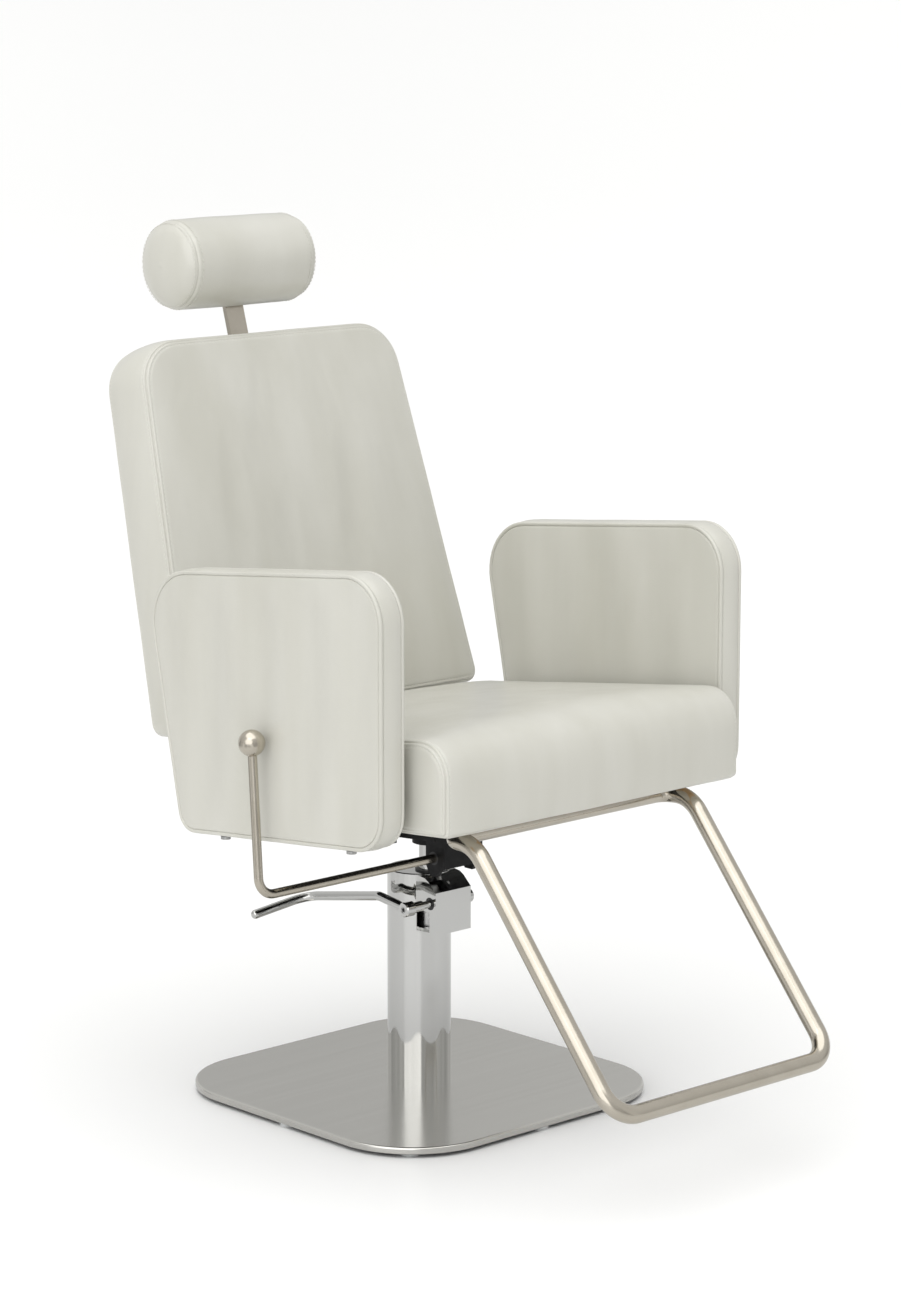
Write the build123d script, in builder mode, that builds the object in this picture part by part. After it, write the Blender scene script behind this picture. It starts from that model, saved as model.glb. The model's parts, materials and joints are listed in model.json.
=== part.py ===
from build123d import *
import math
import os

# Salon chair: square base, pump lift, swivel seat with two arms, footrest loop, reclining back on a
# gas spring, and a roll headrest on a flat bar. Millimetres. The origin is on the floor on the axis of
# the column. The chair faces -Y, +X is the sitter's left, +Z is up.

os.makedirs("parts", exist_ok=True)

# ---- driving dimensions ----

BASE_SIDE = 500.0
BASE_CORNER = 120.0
BASE_TOP = 14.5
BASE_SKIN = 1.5
PLATE_BOTTOM = 5.0
COLUMN_RADIUS = 42.85
COLUMN_WALL = 1.5
HEAD_BOTTOM = 228.6
HEAD_TOP = 310.0
HEAD_BOX_HALF_WIDTH = 32.0
HEAD_BOX_FRONT = -67.2

SWIVEL_Y = -21.7
PISTON_RADIUS = 15.0
PISTON_BOTTOM = 40.0
PISTON_TOP = 393.0
RUNNING_GAP = 0.05

PEDAL_Y = -56.0
PEDAL_Z = 274.0
PEDAL_X = -72.0

SEAT_HALF_WIDTH = 264.7
SEAT_FRONT = -337.0
SEAT_FRONT_BOTTOM = 447.0
SEAT_FRONT_TOP = 572.0
SEAT_BOTTOM_TILT = 4.43
SEAT_TOP_TILT = 7.35

ARM_INNER = 282.4
ARM_OUTER = 322.1
ARM_MIDDLE = (ARM_INNER + ARM_OUTER) / 2
ARM_CORE = 18.0

LEVER_Y = -77.0
LEVER_Z = 342.0
LEVER_X = -345.0
LEVER_RADIUS = 6.0
LEVER_LEAN = 3.6
BALL_HEIGHT = 539.0
BALL_RADIUS = 17.25

HINGE_Y = 165.0
HINGE_Z = 442.0
BACK_LEAN = 16.24
BACK_FOOT_Y = 156.2
BACK_FOOT_Z = 508.0
BACK_LENGTH = 521.0
BACK_THICKNESS = 89.0
BACK_HALF_FOOT = 263.0
BACK_HALF_TOP = 224.5

SPRING_X = 60.0
SPRING_FRONT_Y = -95.0
SPRING_FRONT_Z = 385.5
TAIL_LENGTH = 66.0
TAIL_ANGLE = 35.0
EYE_DROP = 1.8

TUBE_RADIUS = 11.75
TUBE_WALL = 2.0
LOOP_TOP_Y = -268.0
LOOP_TOP_Z = 426.9
LOOP_FOOT_Y = -564.7
LOOP_FOOT_Z = 128.9
LOOP_HALF_WIDTH = 195.7
LOOP_LEG_LEAN = 40.0

ROLL_RADIUS = 61.0
ROLL_HALF_LENGTH = 121.0
ROLL_UP = 629.4
ROLL_BEHIND = 54.9
BAR_BEHIND = 66.5

# ---- reference planes ----

# Underside of the seat cushion: local y runs rearward and slightly down, local z is up from it.
seat_tilt = math.radians(SEAT_BOTTOM_TILT)
SEAT_PLANE = Plane(
    origin=(0, SEAT_FRONT, SEAT_FRONT_BOTTOM),
    x_dir=(1, 0, 0),
    z_dir=(0, math.sin(seat_tilt), math.cos(seat_tilt)),
)
# Front face of the back cushion: local y runs up the lean, local z points out of the front face.
lean = math.radians(BACK_LEAN)
BACK_PLANE = Plane(
    origin=(0, BACK_FOOT_Y, BACK_FOOT_Z),
    x_dir=(1, 0, 0),
    z_dir=(0, -math.cos(lean), math.sin(lean)),
)


def finish(piece, name):
    """Labels a finished piece and writes its STEP file."""
    piece.part.label = name
    export_step(piece.part, "parts/" + name + ".step")


def slab(plane, x, y, z, mode=Mode.ADD):
    """A box between two limits along each local axis of a plane."""
    with BuildSketch(plane.offset(z[0])) as section:
        with Locations(((x[0] + x[1]) / 2, (y[0] + y[1]) / 2)):
            Rectangle(x[1] - x[0], y[1] - y[0])
    extrude(section.sketch, amount=z[1] - z[0], mode=mode)


def rod(plane, centre, radius, low, high, mode=Mode.ADD):
    """A round bar along a plane's normal, from one local height to another."""
    with BuildSketch(plane.offset(low)) as section:
        with Locations(centre):
            Circle(radius)
    extrude(section.sketch, amount=high - low, mode=mode)


def plate_yz(points, x_low, x_high, mode=Mode.ADD):
    """A flat plate with a Y-Z outline, between two X limits."""
    with BuildSketch(Plane.YZ.offset(x_low)) as section:
        with BuildLine():
            Polyline(*points, close=True)
        make_face()
    extrude(section.sketch, amount=x_high - x_low, mode=mode)


def seat_underside(y):
    """Height of the seat cushion's underside at a distance along Y."""
    return SEAT_FRONT_BOTTOM - (y - SEAT_FRONT) * math.tan(seat_tilt)


def seat_v(y):
    """Local y on the seat plane of a point below that Y."""
    return (y - SEAT_FRONT) / math.cos(seat_tilt)


# ---- base: stainless cover over a steel plate on clear glides ----

with BuildPart() as base_cover:
    with BuildSketch(Plane.XY.offset(PLATE_BOTTOM + 0.5)):
        RectangleRounded(BASE_SIDE, BASE_SIDE, BASE_CORNER)
    extrude(amount=BASE_TOP - PLATE_BOTTOM - 0.5)
    fillet(base_cover.edges().group_by(Axis.Z)[-1], 3.0)
    fillet(base_cover.edges().group_by(Axis.Z)[0], 1.0)
    with BuildSketch(Plane.XY):
        RectangleRounded(BASE_SIDE - 2 * BASE_SKIN, BASE_SIDE - 2 * BASE_SKIN, BASE_CORNER - BASE_SKIN)
    extrude(amount=BASE_TOP - BASE_SKIN, mode=Mode.SUBTRACT)
    with BuildSketch(Plane.XY):
        Circle(COLUMN_RADIUS - 2 * COLUMN_WALL)
    extrude(amount=2 * BASE_TOP, mode=Mode.SUBTRACT)
finish(base_cover, "base_cover")

FLANGE_BOLTS = [(33, 5), (-33, 5), (20, 28), (-20, 28)]
with BuildPart() as base_plate:
    with BuildSketch(Plane.XY.offset(PLATE_BOTTOM)):
        side = BASE_SIDE - 2 * BASE_SKIN - 0.6
        RectangleRounded(side, side, BASE_CORNER - BASE_SKIN - 0.3)
    extrude(amount=BASE_TOP - BASE_SKIN - PLATE_BOTTOM)
    with BuildSketch(Plane.XY):
        with Locations(*FLANGE_BOLTS):
            Circle(3.0)
    extrude(amount=BASE_TOP, mode=Mode.SUBTRACT)
finish(base_plate, "base_plate")

GLIDE_SIDE = 232.0
GLIDE_CORNER = 199.0
with BuildPart() as base_glides:
    with BuildSketch(Plane.XY):
        with Locations((GLIDE_SIDE, 0), (-GLIDE_SIDE, 0), (0, GLIDE_SIDE), (0, -GLIDE_SIDE)):
            Circle(13)
        with GridLocations(2 * GLIDE_CORNER, 2 * GLIDE_CORNER, 2, 2):
            Circle(13)
        Circle(13)
    extrude(amount=PLATE_BOTTOM)
finish(base_glides, "base_glides")

# ---- column and pump ----

with BuildPart() as column_cover:
    with BuildSketch(Plane.XY.offset(BASE_TOP)):
        Circle(COLUMN_RADIUS)
        Circle(COLUMN_RADIUS - COLUMN_WALL, mode=Mode.SUBTRACT)
    extrude(amount=HEAD_BOTTOM - BASE_TOP)
finish(column_cover, "column_cover")

CYLINDER_RADIUS = 18.1
CYLINDER_BORE = 16.3
CYLINDER_TOP = 298.0
FLANGE_TOP = 21.0
with BuildPart() as pump_cylinder:
    rod(Plane.XY, (0, 0), COLUMN_RADIUS - 2 * COLUMN_WALL - 0.3, BASE_TOP - BASE_SKIN, FLANGE_TOP)
    rod(Plane.XY, (0, SWIVEL_Y), CYLINDER_RADIUS, FLANGE_TOP, CYLINDER_TOP)
    rod(Plane.XY, (0, SWIVEL_Y), CYLINDER_BORE, FLANGE_TOP + 4, CYLINDER_TOP, Mode.SUBTRACT)
    with BuildSketch(Plane.XY):
        with Locations(*FLANGE_BOLTS):
            Circle(3.0)
    extrude(amount=2 * FLANGE_TOP, mode=Mode.SUBTRACT)
finish(pump_cylinder, "pump_cylinder")

with BuildPart() as pump_bolts:
    for place in FLANGE_BOLTS:
        rod(Plane.XY, place, 3.0, PLATE_BOTTOM + 2, FLANGE_TOP)
        rod(Plane.XY, place, 5.0, FLANGE_TOP, FLANGE_TOP + 5)
finish(pump_bolts, "pump_bolts")

BUSH_RADIUS = 17.6
with BuildPart() as pump_head:
    rod(Plane.XY, (0, 0), COLUMN_RADIUS, HEAD_BOTTOM, HEAD_TOP)
    chamfer(pump_head.edges().group_by(Axis.Z)[-1], 1.2)
    plate_yz(
        [
            (0, HEAD_BOTTOM + 3.4),
            (HEAD_BOX_FRONT, HEAD_BOTTOM + 3.4),
            (HEAD_BOX_FRONT, 290),
            (-53, 303),
            (-46, 307),
            (-36, 308.5),
            (0, 308.5),
        ],
        -HEAD_BOX_HALF_WIDTH,
        HEAD_BOX_HALF_WIDTH,
    )
    rod(Plane.XY, (0, 0), COLUMN_RADIUS - 3, HEAD_BOTTOM, CYLINDER_TOP, Mode.SUBTRACT)
    slab(Plane.XY, (-28, 28), (-63.2, -20), (HEAD_BOTTOM + 7.4, 284), Mode.SUBTRACT)
    rod(Plane.XY, (0, SWIVEL_Y), BUSH_RADIUS, CYLINDER_TOP - 1, HEAD_TOP + 1, Mode.SUBTRACT)
    rod(Plane.YZ, (PEDAL_Y, PEDAL_Z), 8.5, -HEAD_BOX_HALF_WIDTH - 1, HEAD_BOX_HALF_WIDTH + 1, Mode.SUBTRACT)
    slab(Plane.XY, (-HEAD_BOX_HALF_WIDTH - 10, -26), (-55, -30), (HEAD_BOTTOM + 5.4, 262), Mode.SUBTRACT)
finish(pump_head, "pump_head")

with BuildPart() as piston_bush:
    rod(Plane.XY, (0, SWIVEL_Y), BUSH_RADIUS, CYLINDER_TOP, HEAD_TOP)
    rod(Plane.XY, (0, SWIVEL_Y), BUSH_RADIUS + 2.4, HEAD_TOP, HEAD_TOP + 2)
    rod(Plane.XY, (0, SWIVEL_Y), PISTON_RADIUS + RUNNING_GAP, CYLINDER_TOP - 1, HEAD_TOP + 3, Mode.SUBTRACT)
finish(piston_bush, "piston_bush")

SHAFT_RADIUS = 5.0
with BuildPart() as pedal_bushes:
    for low in (-HEAD_BOX_HALF_WIDTH, 28.0):
        rod(Plane.YZ, (PEDAL_Y, PEDAL_Z), 8.5, low, low + 4)
    rod(Plane.YZ, (PEDAL_Y, PEDAL_Z), SHAFT_RADIUS + RUNNING_GAP, -40, 40, Mode.SUBTRACT)
finish(pedal_bushes, "pedal_bushes")

# ---- pedal ----

HUB_END = PEDAL_X - 8
with BuildPart() as pedal_shaft:
    rod(Plane.YZ, (PEDAL_Y, PEDAL_Z), SHAFT_RADIUS, PEDAL_X + 8, 38)
    rod(Plane.YZ, (PEDAL_Y, PEDAL_Z), 7.2, PEDAL_X + 8, PEDAL_X + 24)
finish(pedal_shaft, "pedal_shaft")

with BuildPart() as pedal_hub:
    rod(Plane.YZ, (PEDAL_Y, PEDAL_Z), 10.0, HUB_END, PEDAL_X + 8)
    chamfer(pedal_hub.edges().group_by(Axis.X)[0], 1.5)
    chamfer(pedal_hub.edges().group_by(Axis.X)[-1], 1.5)
    rod(Plane.YZ, (PEDAL_Y, PEDAL_Z), 4.6, HUB_END - 1, HUB_END + 9, Mode.SUBTRACT)
finish(pedal_hub, "pedal_hub")

with BuildPart() as pedal_screw:
    rod(Plane.YZ, (PEDAL_Y, PEDAL_Z), 4.6, HUB_END + 0.5, HUB_END + 9)
    with BuildSketch(Plane.YZ.offset(HUB_END)):
        with Locations((PEDAL_Y, PEDAL_Z)):
            RegularPolygon(3.0, 6)
    extrude(amount=6, mode=Mode.SUBTRACT)
finish(pedal_screw, "pedal_screw")

PEDAL_RADIUS = 6.2
with BuildPart() as pedal_rod:
    with BuildLine() as pedal_path:
        FilletPolyline(
            (PEDAL_X, PEDAL_Y, PEDAL_Z),
            (PEDAL_X, 0, PEDAL_Z + 7.5),
            (PEDAL_X, 148, PEDAL_Z - 20),
            (-168, 148, PEDAL_Z - 30.5),
            radius=26,
        )
    with BuildSketch(Plane(origin=pedal_path.line @ 0, z_dir=pedal_path.line % 0)):
        Circle(PEDAL_RADIUS)
    sweep()
    fillet(pedal_rod.edges().group_by(Axis.X)[0], 5.0)
    rod(Plane.YZ, (PEDAL_Y, PEDAL_Z), 10.0, HUB_END - 10, PEDAL_X + 18, Mode.SUBTRACT)
finish(pedal_rod, "pedal_rod")

with BuildPart() as pedal_end_cap:
    rod(Plane.YZ, (PEDAL_Y, PEDAL_Z), 9.5, HEAD_BOX_HALF_WIDTH + 0.4, HEAD_BOX_HALF_WIDTH + 9)
    fillet(pedal_end_cap.edges().group_by(Axis.X)[-1], 2.5)
    rod(Plane.YZ, (PEDAL_Y, PEDAL_Z), SHAFT_RADIUS, 30, 38, Mode.SUBTRACT)
    slab(Plane.XY, (39.5, 45), (PEDAL_Y - 12, PEDAL_Y + 12), (PEDAL_Z - 1, PEDAL_Z + 1), Mode.SUBTRACT)
finish(pedal_end_cap, "pedal_end_cap")

# ---- piston ----

with BuildPart() as piston_rod:
    rod(Plane.XY, (0, SWIVEL_Y), PISTON_RADIUS, PISTON_BOTTOM, PISTON_TOP)
    chamfer(piston_rod.edges().group_by(Axis.Z)[-1], 1.5)
finish(piston_rod, "piston_rod")

with BuildPart() as piston_head:
    rod(Plane.XY, (0, SWIVEL_Y), CYLINDER_BORE - RUNNING_GAP, PISTON_BOTTOM - 6, PISTON_BOTTOM)
    rod(Plane.XY, (0, SWIVEL_Y), CYLINDER_BORE - RUNNING_GAP, PISTON_BOTTOM, PISTON_BOTTOM + 12)
    rod(Plane.XY, (0, SWIVEL_Y), PISTON_RADIUS, PISTON_BOTTOM, PISTON_BOTTOM + 13, Mode.SUBTRACT)
finish(piston_head, "piston_head")

# ---- seat frame: angle steel under the seat board, and the socket that clamps the piston ----

RAIL_HALF = 240.0
RAIL_HEIGHT = 10.0
RAIL_FRONT_Y = -288.0
RAIL_REAR_Y = 124.0
CROSS_TOP = -4.0
CROSS_BOTTOM = -24.0
CROSS_BARS = [(-120, -100), (50, 70)]
FRONT_BAR = (-250, -234)
FRONT_BAR_HALF = 150.0
REAR_BAR = (108, 124)
REAR_BAR_BOTTOM = -11.0
SPRING_ROOM_HALF = 16.0
HUB_PLATE_BOTTOM = CROSS_BOTTOM - 6
HUB_BOLTS = [(x, seat_v(y)) for x in (-34, 34) for y in (-110, 60)]
SCREW_PLACES = [(x, seat_v(y)) for x in (-230, 230) for y in (-240, -60, 90)]

# Across the seat plane's rearward direction: local y is the drop below the seat's underside, local z
# runs rearward. The footrest's bolts lie along it, level with the middle of the loop's top bar.
SADDLE_PLANE = Plane(
    origin=(0, SEAT_FRONT, SEAT_FRONT_BOTTOM),
    x_dir=(1, 0, 0),
    z_dir=(0, math.cos(seat_tilt), -math.sin(seat_tilt)),
)
loop_drop = (SEAT_FRONT_BOTTOM - LOOP_TOP_Z) * math.cos(seat_tilt)
loop_drop -= (LOOP_TOP_Y - SEAT_FRONT) * math.sin(seat_tilt)
SADDLE_XS = (-110.0, 110.0)
SADDLE_BOLT_RADIUS = 3.0

with BuildPart() as frame_rails:
    rails = (seat_v(RAIL_FRONT_Y), seat_v(RAIL_REAR_Y))
    for low, high in ((-RAIL_HALF, -RAIL_HALF + 4), (RAIL_HALF - 4, RAIL_HALF)):
        slab(SEAT_PLANE, (low, high), rails, (-RAIL_HEIGHT, 0))
    for low, high in ((-RAIL_HALF, -RAIL_HALF + 20), (RAIL_HALF - 20, RAIL_HALF)):
        slab(SEAT_PLANE, (low, high), rails, (CROSS_TOP, 0))
    for place in SCREW_PLACES:
        rod(SEAT_PLANE, place, 2.5, CROSS_TOP, 0, Mode.SUBTRACT)
finish(frame_rails, "frame_rails")

with BuildPart() as cross_bars:
    reach = (4 - RAIL_HALF, RAIL_HALF - 4)
    for front, rear in CROSS_BARS:
        slab(SEAT_PLANE, reach, (seat_v(front), seat_v(rear)), (CROSS_BOTTOM, CROSS_TOP))
    front_bar = (seat_v(FRONT_BAR[0]), seat_v(FRONT_BAR[1]))
    slab(SEAT_PLANE, (-FRONT_BAR_HALF, FRONT_BAR_HALF), front_bar, (CROSS_BOTTOM, CROSS_TOP))
    for low, high in ((-FRONT_BAR_HALF, 16 - FRONT_BAR_HALF), (FRONT_BAR_HALF - 16, FRONT_BAR_HALF)):
        slab(SEAT_PLANE, (low, high), (front_bar[1], seat_v(CROSS_BARS[0][0])), (CROSS_BOTTOM, CROSS_TOP))
    for x in SADDLE_XS:
        rod(SADDLE_PLANE, (x, loop_drop), SADDLE_BOLT_RADIUS, *front_bar, Mode.SUBTRACT)
    rear_bar = (seat_v(REAR_BAR[0]), seat_v(REAR_BAR[1]))
    slab(SEAT_PLANE, reach, rear_bar, (REAR_BAR_BOTTOM, CROSS_TOP))
    for low, high in ((4 - RAIL_HALF, 34 - RAIL_HALF), (RAIL_HALF - 34, RAIL_HALF - 4)):
        slab(SEAT_PLANE, (low, high), rear_bar, (CROSS_BOTTOM, REAR_BAR_BOTTOM))
    for place in HUB_BOLTS:
        rod(SEAT_PLANE, place, 4.0, CROSS_BOTTOM, CROSS_BOTTOM + 14, Mode.SUBTRACT)
    spring_room = (SPRING_X - SPRING_ROOM_HALF, SPRING_X + SPRING_ROOM_HALF)
    rear_cross = (seat_v(CROSS_BARS[1][0]) - 1, seat_v(CROSS_BARS[1][1]) + 1)
    slab(SEAT_PLANE, spring_room, rear_cross, (CROSS_BOTTOM, CROSS_BOTTOM + 9), Mode.SUBTRACT)
finish(cross_bars, "cross_bars")

HUB_BOTTOM = 348.0
with BuildPart() as seat_hub:
    slab(SEAT_PLANE, (-44, 44), (seat_v(-120), seat_v(70)), (HUB_PLATE_BOTTOM, CROSS_BOTTOM))
    rod(Plane.XY, (0, SWIVEL_Y), 24.0, HUB_BOTTOM, PISTON_TOP + 3)
    rod(Plane.XY, (0, SWIVEL_Y), PISTON_RADIUS + RUNNING_GAP, HUB_BOTTOM - 1, PISTON_TOP + 0.05, Mode.SUBTRACT)
    for place in HUB_BOLTS:
        rod(SEAT_PLANE, place, 4.0, HUB_PLATE_BOTTOM, CROSS_BOTTOM, Mode.SUBTRACT)
finish(seat_hub, "seat_hub")

with BuildPart() as hub_bolts:
    for place in HUB_BOLTS:
        rod(SEAT_PLANE, place, 4.0, HUB_PLATE_BOTTOM, CROSS_BOTTOM + 14)
        rod(SEAT_PLANE, place, 6.5, HUB_PLATE_BOTTOM - 5, HUB_PLATE_BOTTOM)
finish(hub_bolts, "hub_bolts")

# ---- seat: board let into the underside of the cushion ----

BOARD_DEPTH = 15.0
BOARD_LIMITS = (-244, 244), (16, seat_v(112))
with BuildPart() as seat_board:
    slab(SEAT_PLANE, *BOARD_LIMITS, (0, BOARD_DEPTH))
    for place in SCREW_PLACES:
        rod(SEAT_PLANE, place, 2.5, 0, 11, Mode.SUBTRACT)
finish(seat_board, "seat_board")

with BuildPart() as board_screws:
    for place in SCREW_PLACES:
        rod(SEAT_PLANE, place, 2.5, CROSS_TOP, 11)
        rod(SEAT_PLANE, place, 4.5, CROSS_TOP - 3, CROSS_TOP)
finish(board_screws, "board_screws")

with BuildPart() as dust_cover:
    slab(SEAT_PLANE, (20 - RAIL_HALF, RAIL_HALF - 20), (seat_v(-288), seat_v(112)), (-0.8, 0))
finish(dust_cover, "dust_cover")

SEAT_REAR_TOP_Y = 150.0
SEAT_REAR_FOOT_Y = 128.0
with BuildPart() as seat_cushion:
    with BuildSketch(Plane.YZ.offset(-SEAT_HALF_WIDTH)):
        top_drop = (SEAT_REAR_TOP_Y - SEAT_FRONT) * math.tan(math.radians(SEAT_TOP_TILT))
        with BuildLine():
            FilletPolyline(
                (SEAT_FRONT, SEAT_FRONT_BOTTOM),
                (SEAT_FRONT, SEAT_FRONT_TOP),
                (SEAT_REAR_TOP_Y, SEAT_FRONT_TOP - top_drop),
                (SEAT_REAR_FOOT_Y, seat_underside(SEAT_REAR_FOOT_Y)),
                radius=[10, 47, 20, 10],
                close=True,
            )
        make_face()
    extrude(amount=2 * SEAT_HALF_WIDTH)
    slab(SEAT_PLANE, *BOARD_LIMITS, (-20, BOARD_DEPTH), Mode.SUBTRACT)
finish(seat_cushion, "seat_cushion")

# ---- arms: upholstered pad round a plywood core, on two brackets each ----

ARM_FRONT = -282.0
ARM_OUTLINE = [(ARM_FRONT, 429.5), (ARM_FRONT, 777.0), (178.0, 727.9), (107.2, 391.2)]
ARM_RADII = [48.0, 60.0, 75.0, 28.0]
ARM_FOOT_SLOPE = (429.5 - 391.2) / (107.2 - ARM_FRONT)
BRACKET_YS = (-205.0, 40.0)
BRACKET_WIDTH = 30.0
BRACKET_THICK = 3.0
ARM_BOLT_X = ARM_MIDDLE


def arm_foot(y):
    """Height of the arm's underside at a distance along Y."""
    return 429.5 - (y - ARM_FRONT) * ARM_FOOT_SLOPE


def arm_profile():
    """The arm's rounded outline, seen from the side."""
    with BuildLine() as outline:
        FilletPolyline(*ARM_OUTLINE, radius=ARM_RADII, close=True)
    make_face(outline.edges())


CORE_OUTLINE = [(-225, arm_foot(-225)), (-225, 690), (115, 665), (70, arm_foot(70))]
CORE_POCKET = [(-225, 380), (-225, 690), (115, 665), (70, 370)]

for side, low in (("left", ARM_INNER), ("right", -ARM_OUTER)):
    core_low = low + (ARM_OUTER - ARM_INNER - ARM_CORE) / 2
    bolt_x = ARM_BOLT_X if side == "left" else -ARM_BOLT_X
    with BuildPart() as arm_pad:
        with BuildSketch(Plane.YZ.offset(low)):
            arm_profile()
        extrude(amount=ARM_OUTER - ARM_INNER)
        plate_yz(CORE_POCKET, core_low, core_low + ARM_CORE, Mode.SUBTRACT)
    finish(arm_pad, "arm_pad_" + side)
    with BuildPart() as arm_core:
        plate_yz(CORE_OUTLINE, core_low, core_low + ARM_CORE)
        for y in BRACKET_YS:
            rod(Plane.XY, (bolt_x, y), 4.0, 380, arm_foot(y) + 25, Mode.SUBTRACT)
    finish(arm_core, "arm_core_" + side)

ARM_FOOT_PLANE = Plane(
    origin=(0, ARM_FRONT, arm_foot(ARM_FRONT)),
    x_dir=(1, 0, 0),
    z_dir=(0, math.sin(math.atan(ARM_FOOT_SLOPE)), math.cos(math.atan(ARM_FOOT_SLOPE))),
)
with BuildPart() as arm_brackets:
    for sign in (-1, 1):
        flat = sorted((sign * (RAIL_HALF + 0.2), sign * (ARM_OUTER - 13)))
        tab = sorted((sign * (RAIL_HALF + 0.2), sign * (RAIL_HALF + 6.2)))
        for y in BRACKET_YS:
            along = (y - ARM_FRONT - BRACKET_WIDTH / 2, y - ARM_FRONT + BRACKET_WIDTH / 2)
            tab_top = seat_underside(y) - arm_foot(y) - 2
            slab(ARM_FOOT_PLANE, flat, along, (-BRACKET_THICK, 0))
            slab(ARM_FOOT_PLANE, tab, along, (-BRACKET_THICK, tab_top))
            rod(Plane.XY, (sign * ARM_BOLT_X, y), 4.0, 370, 460, Mode.SUBTRACT)
finish(arm_brackets, "arm_brackets")

with BuildPart() as arm_bolts:
    for sign in (-1, 1):
        for y in BRACKET_YS:
            seat_of_head = arm_foot(y) - BRACKET_THICK - 0.8
            rod(Plane.XY, (sign * ARM_BOLT_X, y), 4.0, seat_of_head, arm_foot(y) + 25)
            rod(Plane.XY, (sign * ARM_BOLT_X, y), 6.5, seat_of_head - 4, seat_of_head)
finish(arm_bolts, "arm_bolts")

# ---- recline lever, its bracket under the seat and its bushes ----

BRACKET_LEFT_X = -45.0
BRACKET_RIGHT_X = 24.0
WALL = 6.0
FINGER_Z = 372.0
FINGER_WINDOW = (-82.0, -66.0)


def under_hub_plate(y):
    """Height of the hub plate's underside at a distance along Y."""
    return seat_underside(y) + HUB_PLATE_BOTTOM / math.cos(seat_tilt)


with BuildPart() as lever_bracket:
    outline = [
        (-92, 332),
        (-84, 318),
        (-70, 318),
        (-62, 332),
        (-62, under_hub_plate(-62)),
        (-92, under_hub_plate(-92)),
    ]
    plate_yz(outline, BRACKET_LEFT_X, BRACKET_LEFT_X + WALL)
    plate_yz(outline, BRACKET_RIGHT_X - WALL, BRACKET_RIGHT_X)
    web = [(-98, 330), (-92, 330), (-92, under_hub_plate(-92)), (-98, under_hub_plate(-98))]
    plate_yz(web, BRACKET_LEFT_X, BRACKET_RIGHT_X)
    rod(Plane.YZ, (LEVER_Y, LEVER_Z), 9.0, BRACKET_LEFT_X - 1, BRACKET_RIGHT_X + 1, Mode.SUBTRACT)
    window = (BRACKET_RIGHT_X - WALL - 1, BRACKET_RIGHT_X + 1)
    slab(Plane.XY, window, FINGER_WINDOW, (FINGER_Z - 6, FINGER_Z + 6), Mode.SUBTRACT)
finish(lever_bracket, "lever_bracket")

with BuildPart() as lever_bushes:
    for low in (BRACKET_LEFT_X, BRACKET_RIGHT_X - WALL):
        rod(Plane.YZ, (LEVER_Y, LEVER_Z), 9.0, low, low + WALL)
    rod(Plane.YZ, (LEVER_Y, LEVER_Z), LEVER_RADIUS + RUNNING_GAP, -50, 30, Mode.SUBTRACT)
finish(lever_bushes, "lever_bushes")

LEVER_END_X = BRACKET_RIGHT_X + 3
ball_rise = BALL_HEIGHT - LEVER_Z
ball_y = LEVER_Y + ball_rise * math.tan(math.radians(LEVER_LEAN))
with BuildPart() as lever_rod:
    with BuildLine() as lever_path:
        FilletPolyline(
            (LEVER_END_X, LEVER_Y, LEVER_Z),
            (LEVER_X, LEVER_Y, LEVER_Z),
            (LEVER_X, ball_y, BALL_HEIGHT),
            radius=24,
        )
    with BuildSketch(Plane(origin=lever_path.line @ 0, z_dir=lever_path.line % 0)):
        Circle(LEVER_RADIUS)
    sweep()
finish(lever_rod, "lever_rod")

with BuildPart() as lever_ball:
    with Locations((LEVER_X, ball_y, BALL_HEIGHT)):
        Sphere(BALL_RADIUS)
    add(lever_rod.part, mode=Mode.SUBTRACT)
finish(lever_ball, "lever_ball")

# The cam stands between the bracket's plates; its pin reaches through a window to the gas spring's head.
CAM_LIMITS = (3.0, 15.0)
with BuildPart() as release_cam:
    rod(Plane.YZ, (LEVER_Y, LEVER_Z), 10.0, *CAM_LIMITS)
    finger = [(-84, LEVER_Z), (-70, LEVER_Z), (-73, FINGER_Z + 3), (-81, FINGER_Z + 3)]
    plate_yz(finger, *CAM_LIMITS)
    rod(Plane.YZ, (LEVER_Y, FINGER_Z), 3.0, CAM_LIMITS[0], SPRING_X + 6)
    rod(Plane.YZ, (LEVER_Y, LEVER_Z), LEVER_RADIUS, *CAM_LIMITS, Mode.SUBTRACT)
finish(release_cam, "release_cam")

# ---- back hinge on the rear of the seat frame ----

EAR_INNER = 205.0
EAR_THICK = 6.0
PIN_RADIUS = 6.0
with BuildPart() as hinge_ears:
    outline = [
        (124.2, 390),
        (146, 390),
        (170, 415),
        (179, 434),
        (179, 449),
        (165, 456),
        (152, 449),
        (142, 408),
        (124.2, 402),
    ]
    for low in (EAR_INNER, -EAR_INNER - EAR_THICK):
        plate_yz(outline, low, low + EAR_THICK)
    rod(Plane.YZ, (HINGE_Y, HINGE_Z), PIN_RADIUS, -220, 220, Mode.SUBTRACT)
finish(hinge_ears, "hinge_ears")

with BuildPart() as hinge_pins:
    for sign in (-1, 1):
        ends = sorted((sign * 180.0, sign * (EAR_INNER + EAR_THICK)))
        rod(Plane.YZ, (HINGE_Y, HINGE_Z), PIN_RADIUS, *ends)
        head = sorted((sign * (EAR_INNER + EAR_THICK), sign * (EAR_INNER + EAR_THICK + 4)))
        rod(Plane.YZ, (HINGE_Y, HINGE_Z), 9.0, *head)
finish(hinge_pins, "hinge_pins")

# ---- footrest: one closed loop of tube, bolted to the front bar through two saddles ----

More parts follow.
